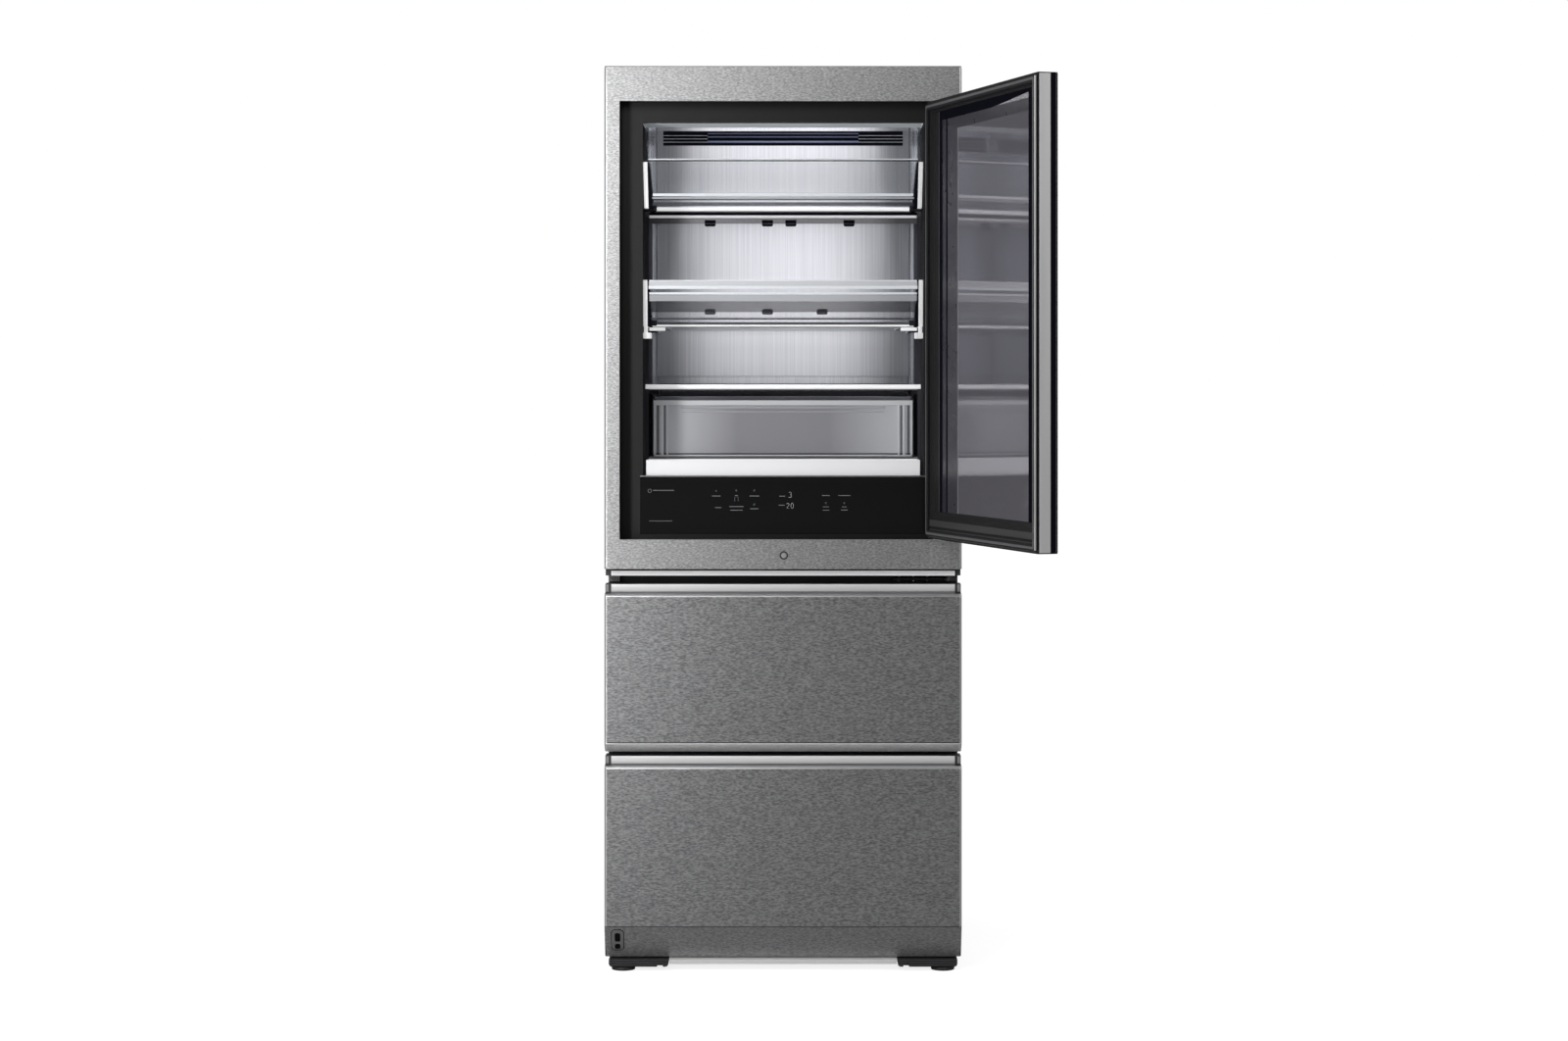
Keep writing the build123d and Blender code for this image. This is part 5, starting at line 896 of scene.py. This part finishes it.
# The glass's colour is painted paler where it is seen at a slant, as a painted sheen.
slant = add_node(mirror_glass.node_tree, "ShaderNodeLayerWeight", Blend=0.5)
tinted(mirror_glass, slant.outputs["Facing"], (0.03, 0.03, 0.034), (0.235, 0.226, 0.257), span=(0.25, 0.72))
rows = inset(311, *INNER_PANE, (0, 35, 0), (0, 36.6, 0), (0.6, 37, 0))
door_piece("inner_pane", [hoop(rows, caps=True)], mirror_glass, "door_inner_glass")
border = surface("printed border", (0.032, 0.03, 0.04), 0.3, gloss=(30, 0.25, 0.36), specular=0.15)
door_piece("glass_border", [block((220, 246), (36.6, 37.6), (972.6, 1805.4))], border, "door_inner_glass")
door_piece("glass_border_line", [block((259.5, 264), (36.4, 39.4), INNER_PANE)], rail_grey, "glass_frame")
pale_border = surface("pale border", (0.048, 0.046, 0.055), 0.3, gloss=(30, 0.25, 0.36), specular=0.15)
pale = [block((150, 213), PANE_BACK, (972.6, 1764)), block((-311, 213), PANE_BACK, (1763.5, 1788))]
door_piece("glass_inner_border", pale, pale_border, "door_inner_glass")
door_piece("glass_inner_line", [block((145, 148.6), PANE_BACK, (972.6, 1762))], seal_rubber,
           "door_inner_glass")

door_strip = surface("door edge strip", (0.78, 0.78, 0.785), 0.36, metallic=0.4,
                     gloss=((5, 400, 3), 0.3, 0.42))
door_piece("edge_strip", [block((-338.6, -334.5), (14.4, 37.4), (916, 1830))], door_strip, "bright_strip",
           edge=0.8)
plates = [block((277.5, 337.5), (4, 28), z) for z in ((911.5, 914), (1832, 1834.5))]
eyes = [turned([(2.05, 0), (4, 0), (4, 2.5), (2.05, 2.5), (2.05, 0)], (PIN_X, PIN_D, z), 2)
        for z in (911.5, 1832)]
door_piece("hinge_plates", plates + eyes, bright_strip, "bright_strip")
door_piece("seal_trim", [block((-335, -333.9), (42.6, 46.5), (921, 1825))], door_strip, "bright_strip",
           edge=0.3)
# A lighter grey line along the face of the glass door's seal is a painted highlight.
seal_highlight_grey = surface("seal highlight", (0.11, 0.11, 0.113), 0.5, relief=(600, 2e-5), specular=0.2)
bead = inset(330.6, 922.9, 1823.1, (0, 46, 4), (0, 46.85, 4), (5, 46.85, 4), (5, 46, 4))
door_piece("seal_highlight_line", [hoop(bead, closed=True)], seal_highlight_grey, "seal_grey")
dark_seal = surface("dark seal", (0.02, 0.02, 0.022), 0.7, relief=(600, 3e-5), specular=0.12)
door_piece("door_gasket", [gasket(333.5, 920, 1826, 13, 40, 6.6)], dark_seal, "seal_grey")
surface("pin steel", (0.55, 0.55, 0.56), 0.25, metallic=1, gloss=(500, 0.2, 0.32), on=["glass_door_pins"])


# A drawer front is one pressed pan: a profile of rolled top edge, face and bevel, swept across the width,
# with the same roll at its two ends. The moulded body inside it has a finger pocket in its top.
def pan(profile, half, radius, deep):
    """Point (u, v) has width x(v), height z(u) and depth min(d(u) + e(v), deep), e being the ends' roll."""
    depth, height = np.array(profile, float).T
    roll = np.array([deep, *(radius * share for share in (1, 0.72, 0.48, 0.3, 0.16, 0.06, 0.015, 0))])
    width = half - rolled(roll, radius)
    x = np.concatenate([-width, width[::-1]])
    end = np.concatenate([roll, roll[::-1]])
    grid = np.empty((len(profile), len(x), 3))
    grid[..., 0] = x
    grid[..., 1] = np.minimum(depth[:, None] + end, deep)
    grid[..., 2] = height[:, None]
    return woven(grid)


def drawer_body(profile, half, radius, pocket):
    """Sections across the drawer: the profile's front, then over the top and down into the finger pocket."""
    wide, low_d, high_d, floor_z, top = pocket
    front = np.array(profile, float)[::-1]
    roll = np.array([radius, radius * 0.5, radius * 0.12, 0])
    stations = [(-(half - out), end, 0) for out, end in zip(rolled(roll, radius), roll)]
    stations += [(-wide, 0, 0), (-wide, 0, 1)]
    stations += [(-x, end, deep) for x, end, deep in stations[::-1]]
    sections = []
    for x, end, deep in stations:
        floor = top - deep * (top - floor_z)
        loop = [(x, d + end if d < 15 else d, z) for d, z in front]
        loop += [(x, 17, loop[-1][2]), (x, 17, top), (x, low_d, top), (x, low_d, floor), (x, high_d, floor),
                 (x, high_d, top), (x, DOOR_BACK, top), (x, DOOR_BACK, front[0][1])]
        sections.append(loop)
    return woven(np.array(sections), across=True, caps=True)


def drawer_profile(low, top, bevel, inward, radius):
    """Depths and heights down the front: rolled top, face, bevel and foot, all drawn in by inward."""
    back, rise = bevel
    inner = radius - inward
    crown = [(radius - inner * math.cos(a), top - radius + inner * math.sin(a))
             for a in np.linspace(math.pi / 2, 0, 7)]
    return crown + [(inward, low + rise + inward), (inward + 0.7, low + rise - 2.4 + inward),
                    (back, low + inward), (DOOR_BACK, low + inward)]


PAN_GRAIN = (145, 145, 470)
TOP_ROLL = 8
LOWER_FOOT, LOWER_BEVEL = 27, (30, 69)
# The drawers' steel is a darker copy of the door's, as painted shade. The upper bevel is painted lighter than
# the face, as painted light, and the lower one darker, as painted shade.
shaded_drawer_steel = surface("drawer steel, painted darker", (0.38, 0.38, 0.385), 0.48, metallic=0.93,
                       gloss=((60, 60, 160), 0.465, 0.515))
painted_light_bevel = surface("bevel, painted light", 0.88, 0.42, metallic=0.45)
painted_shade_bevel = surface("bevel, painted shade", (0.27, 0.27, 0.275), 0.46, metallic=0.5)
for material, dark, light, span in ((shaded_drawer_steel, (0.225, 0.225, 0.23), (0.535, 0.535, 0.54), (0.33, 0.67)),
                                    (painted_light_bevel, 0.8, 0.96, (0.35, 0.65)),
                                    (painted_shade_bevel, (0.19, 0.19, 0.195), (0.35, 0.35, 0.355), (0.35, 0.65))):
    tinted(material, grains(material, PAN_GRAIN, detail=6), dark, light, span=span)
end_grey = surface("strip end grey", (0.26, 0.26, 0.265), 0.5, relief=(300, 4e-5))
for name, low, top, bevel, painted_bevel_tone, crease_d, crease_z in (
        ("upper_drawer", 461, 816, (28, 21), painted_light_bevel, -0.25, (481.8, 483.8)),
        ("lower_drawer", LOWER_FOOT, 453, LOWER_BEVEL, painted_shade_bevel, 0.1, (93.8, 95.4))):
    skin_top = top - 20
    profile = drawer_profile(low, skin_top, bevel, 0, TOP_ROLL)
    front = piece(name + "_pan", [pan(profile, FRONT_HALF, FRONT_ROLL, DOOR_BACK)], shaded_drawer_steel, name,
                  replaces=[name + "_skin"], wall=SHEET, edge_highlight=polished_steel_and_edge_highlight)
    # The bevel's faces take the third finish: painted light on the upper drawer, painted shade on the lower.
    front.data.materials.append(painted_bevel_tone)
    for face in front.data.polygons:
        if face.center[2] * 1000 < low + bevel[1] - 0.5 and abs(face.center[0]) < 0.3755:
            face.material_index = 2
    # A dark strip along the bend over the bevel is painted shade.
    piece(name + "_crease", [block((-371.5, 371.5), (crease_d, crease_d + 1.2), crease_z)], dark_plastic,
          name, replaces=[name + "_skin"])
    inner = [(d, z) for d, z in drawer_profile(low, skin_top, bevel, 1.2, TOP_ROLL) if d < 60]
    moulding = drawer_body(inner, 375.8, 5, (348, 19, 42, top - 44, top))
    piece(name + "_moulding", [moulding], dark_plastic, name, replaces=[name + "_body"])
    bar = block((-STRIP_HALF, STRIP_HALF), (14, 17.2), (top - 16, top))
    piece(name + "_strip_bar", [bar], bright_strip, name, replaces=[name + "_strip"],
          edge=0.7)
    ends = both_sides((368.2, 374.6, (15.6, 17.4), (top - 16, top - 0.8)))
    piece(name + "_strip_ends", ends, end_grey, name, replaces=[name + "_body"], edge=0.4)
    ledge = block((-STRIP_HALF, STRIP_HALF), (9, 17), (skin_top, top - 16.4))
    piece(name + "_strip_ledge", [ledge], grey_plastic, name, replaces=[name + "_strip"])


# The lower drawer's bevel carries a dark plate with two windows, behind which the motion sensor looks out.
# Plate, rim and windows sit on the steel near its left end.
def leaning(shape):
    """An upright shape laid on the lower bevel: its depth runs along the bevel's normal."""
    back, rise = np.array(LOWER_BEVEL) / math.hypot(*LOWER_BEVEL)
    x, out, up = shape[0].T
    depth = LOWER_BEVEL[0] - up * back + out * rise
    return np.stack([x, depth, LOWER_FOOT + up * rise + out * back], axis=-1), shape[1]


sensor_grey = surface("sensor plate", (0.24, 0.24, 0.243), 0.42, metallic=0.6, relief=(500, 2e-5))
sensor_black = surface("sensor window", 0.003, 0.1, gloss=(90, 0.08, 0.14), specular=0.1)
plate = inset(12.6, 17, 66, (0, 1, 8), (0, -1.4, 8), (0.8, -2, 7.4), (2, -2, 6.8))
rim = inset(13.8, 15.8, 67.2, (0, 1, 8.8), (0, -1.2, 8.8), (0.8, -1.6, 8.2), (1.4, -1.2, 8))
windows = [hoop(inset(5.8, *span, (0, -1, 3.6), (0, -2.6, 3.6), (0.6, -2.9, 3.1)), caps=True)
           for span in ((20.5, 32.5), (38.5, 59))]
for name, shapes, material in (("sensor_plate", [hoop(plate, caps=True, turn=5)], sensor_grey),
                               ("sensor_rim", [hoop(rim, caps=True, turn=5)], black_and_painted_shade),
                               ("sensor_windows", windows, sensor_black)):
    piece(name, [moved(leaning(shape), x=-349.5) for shape in shapes], material, "lower_drawer",
          replaces=["motion_sensor"])
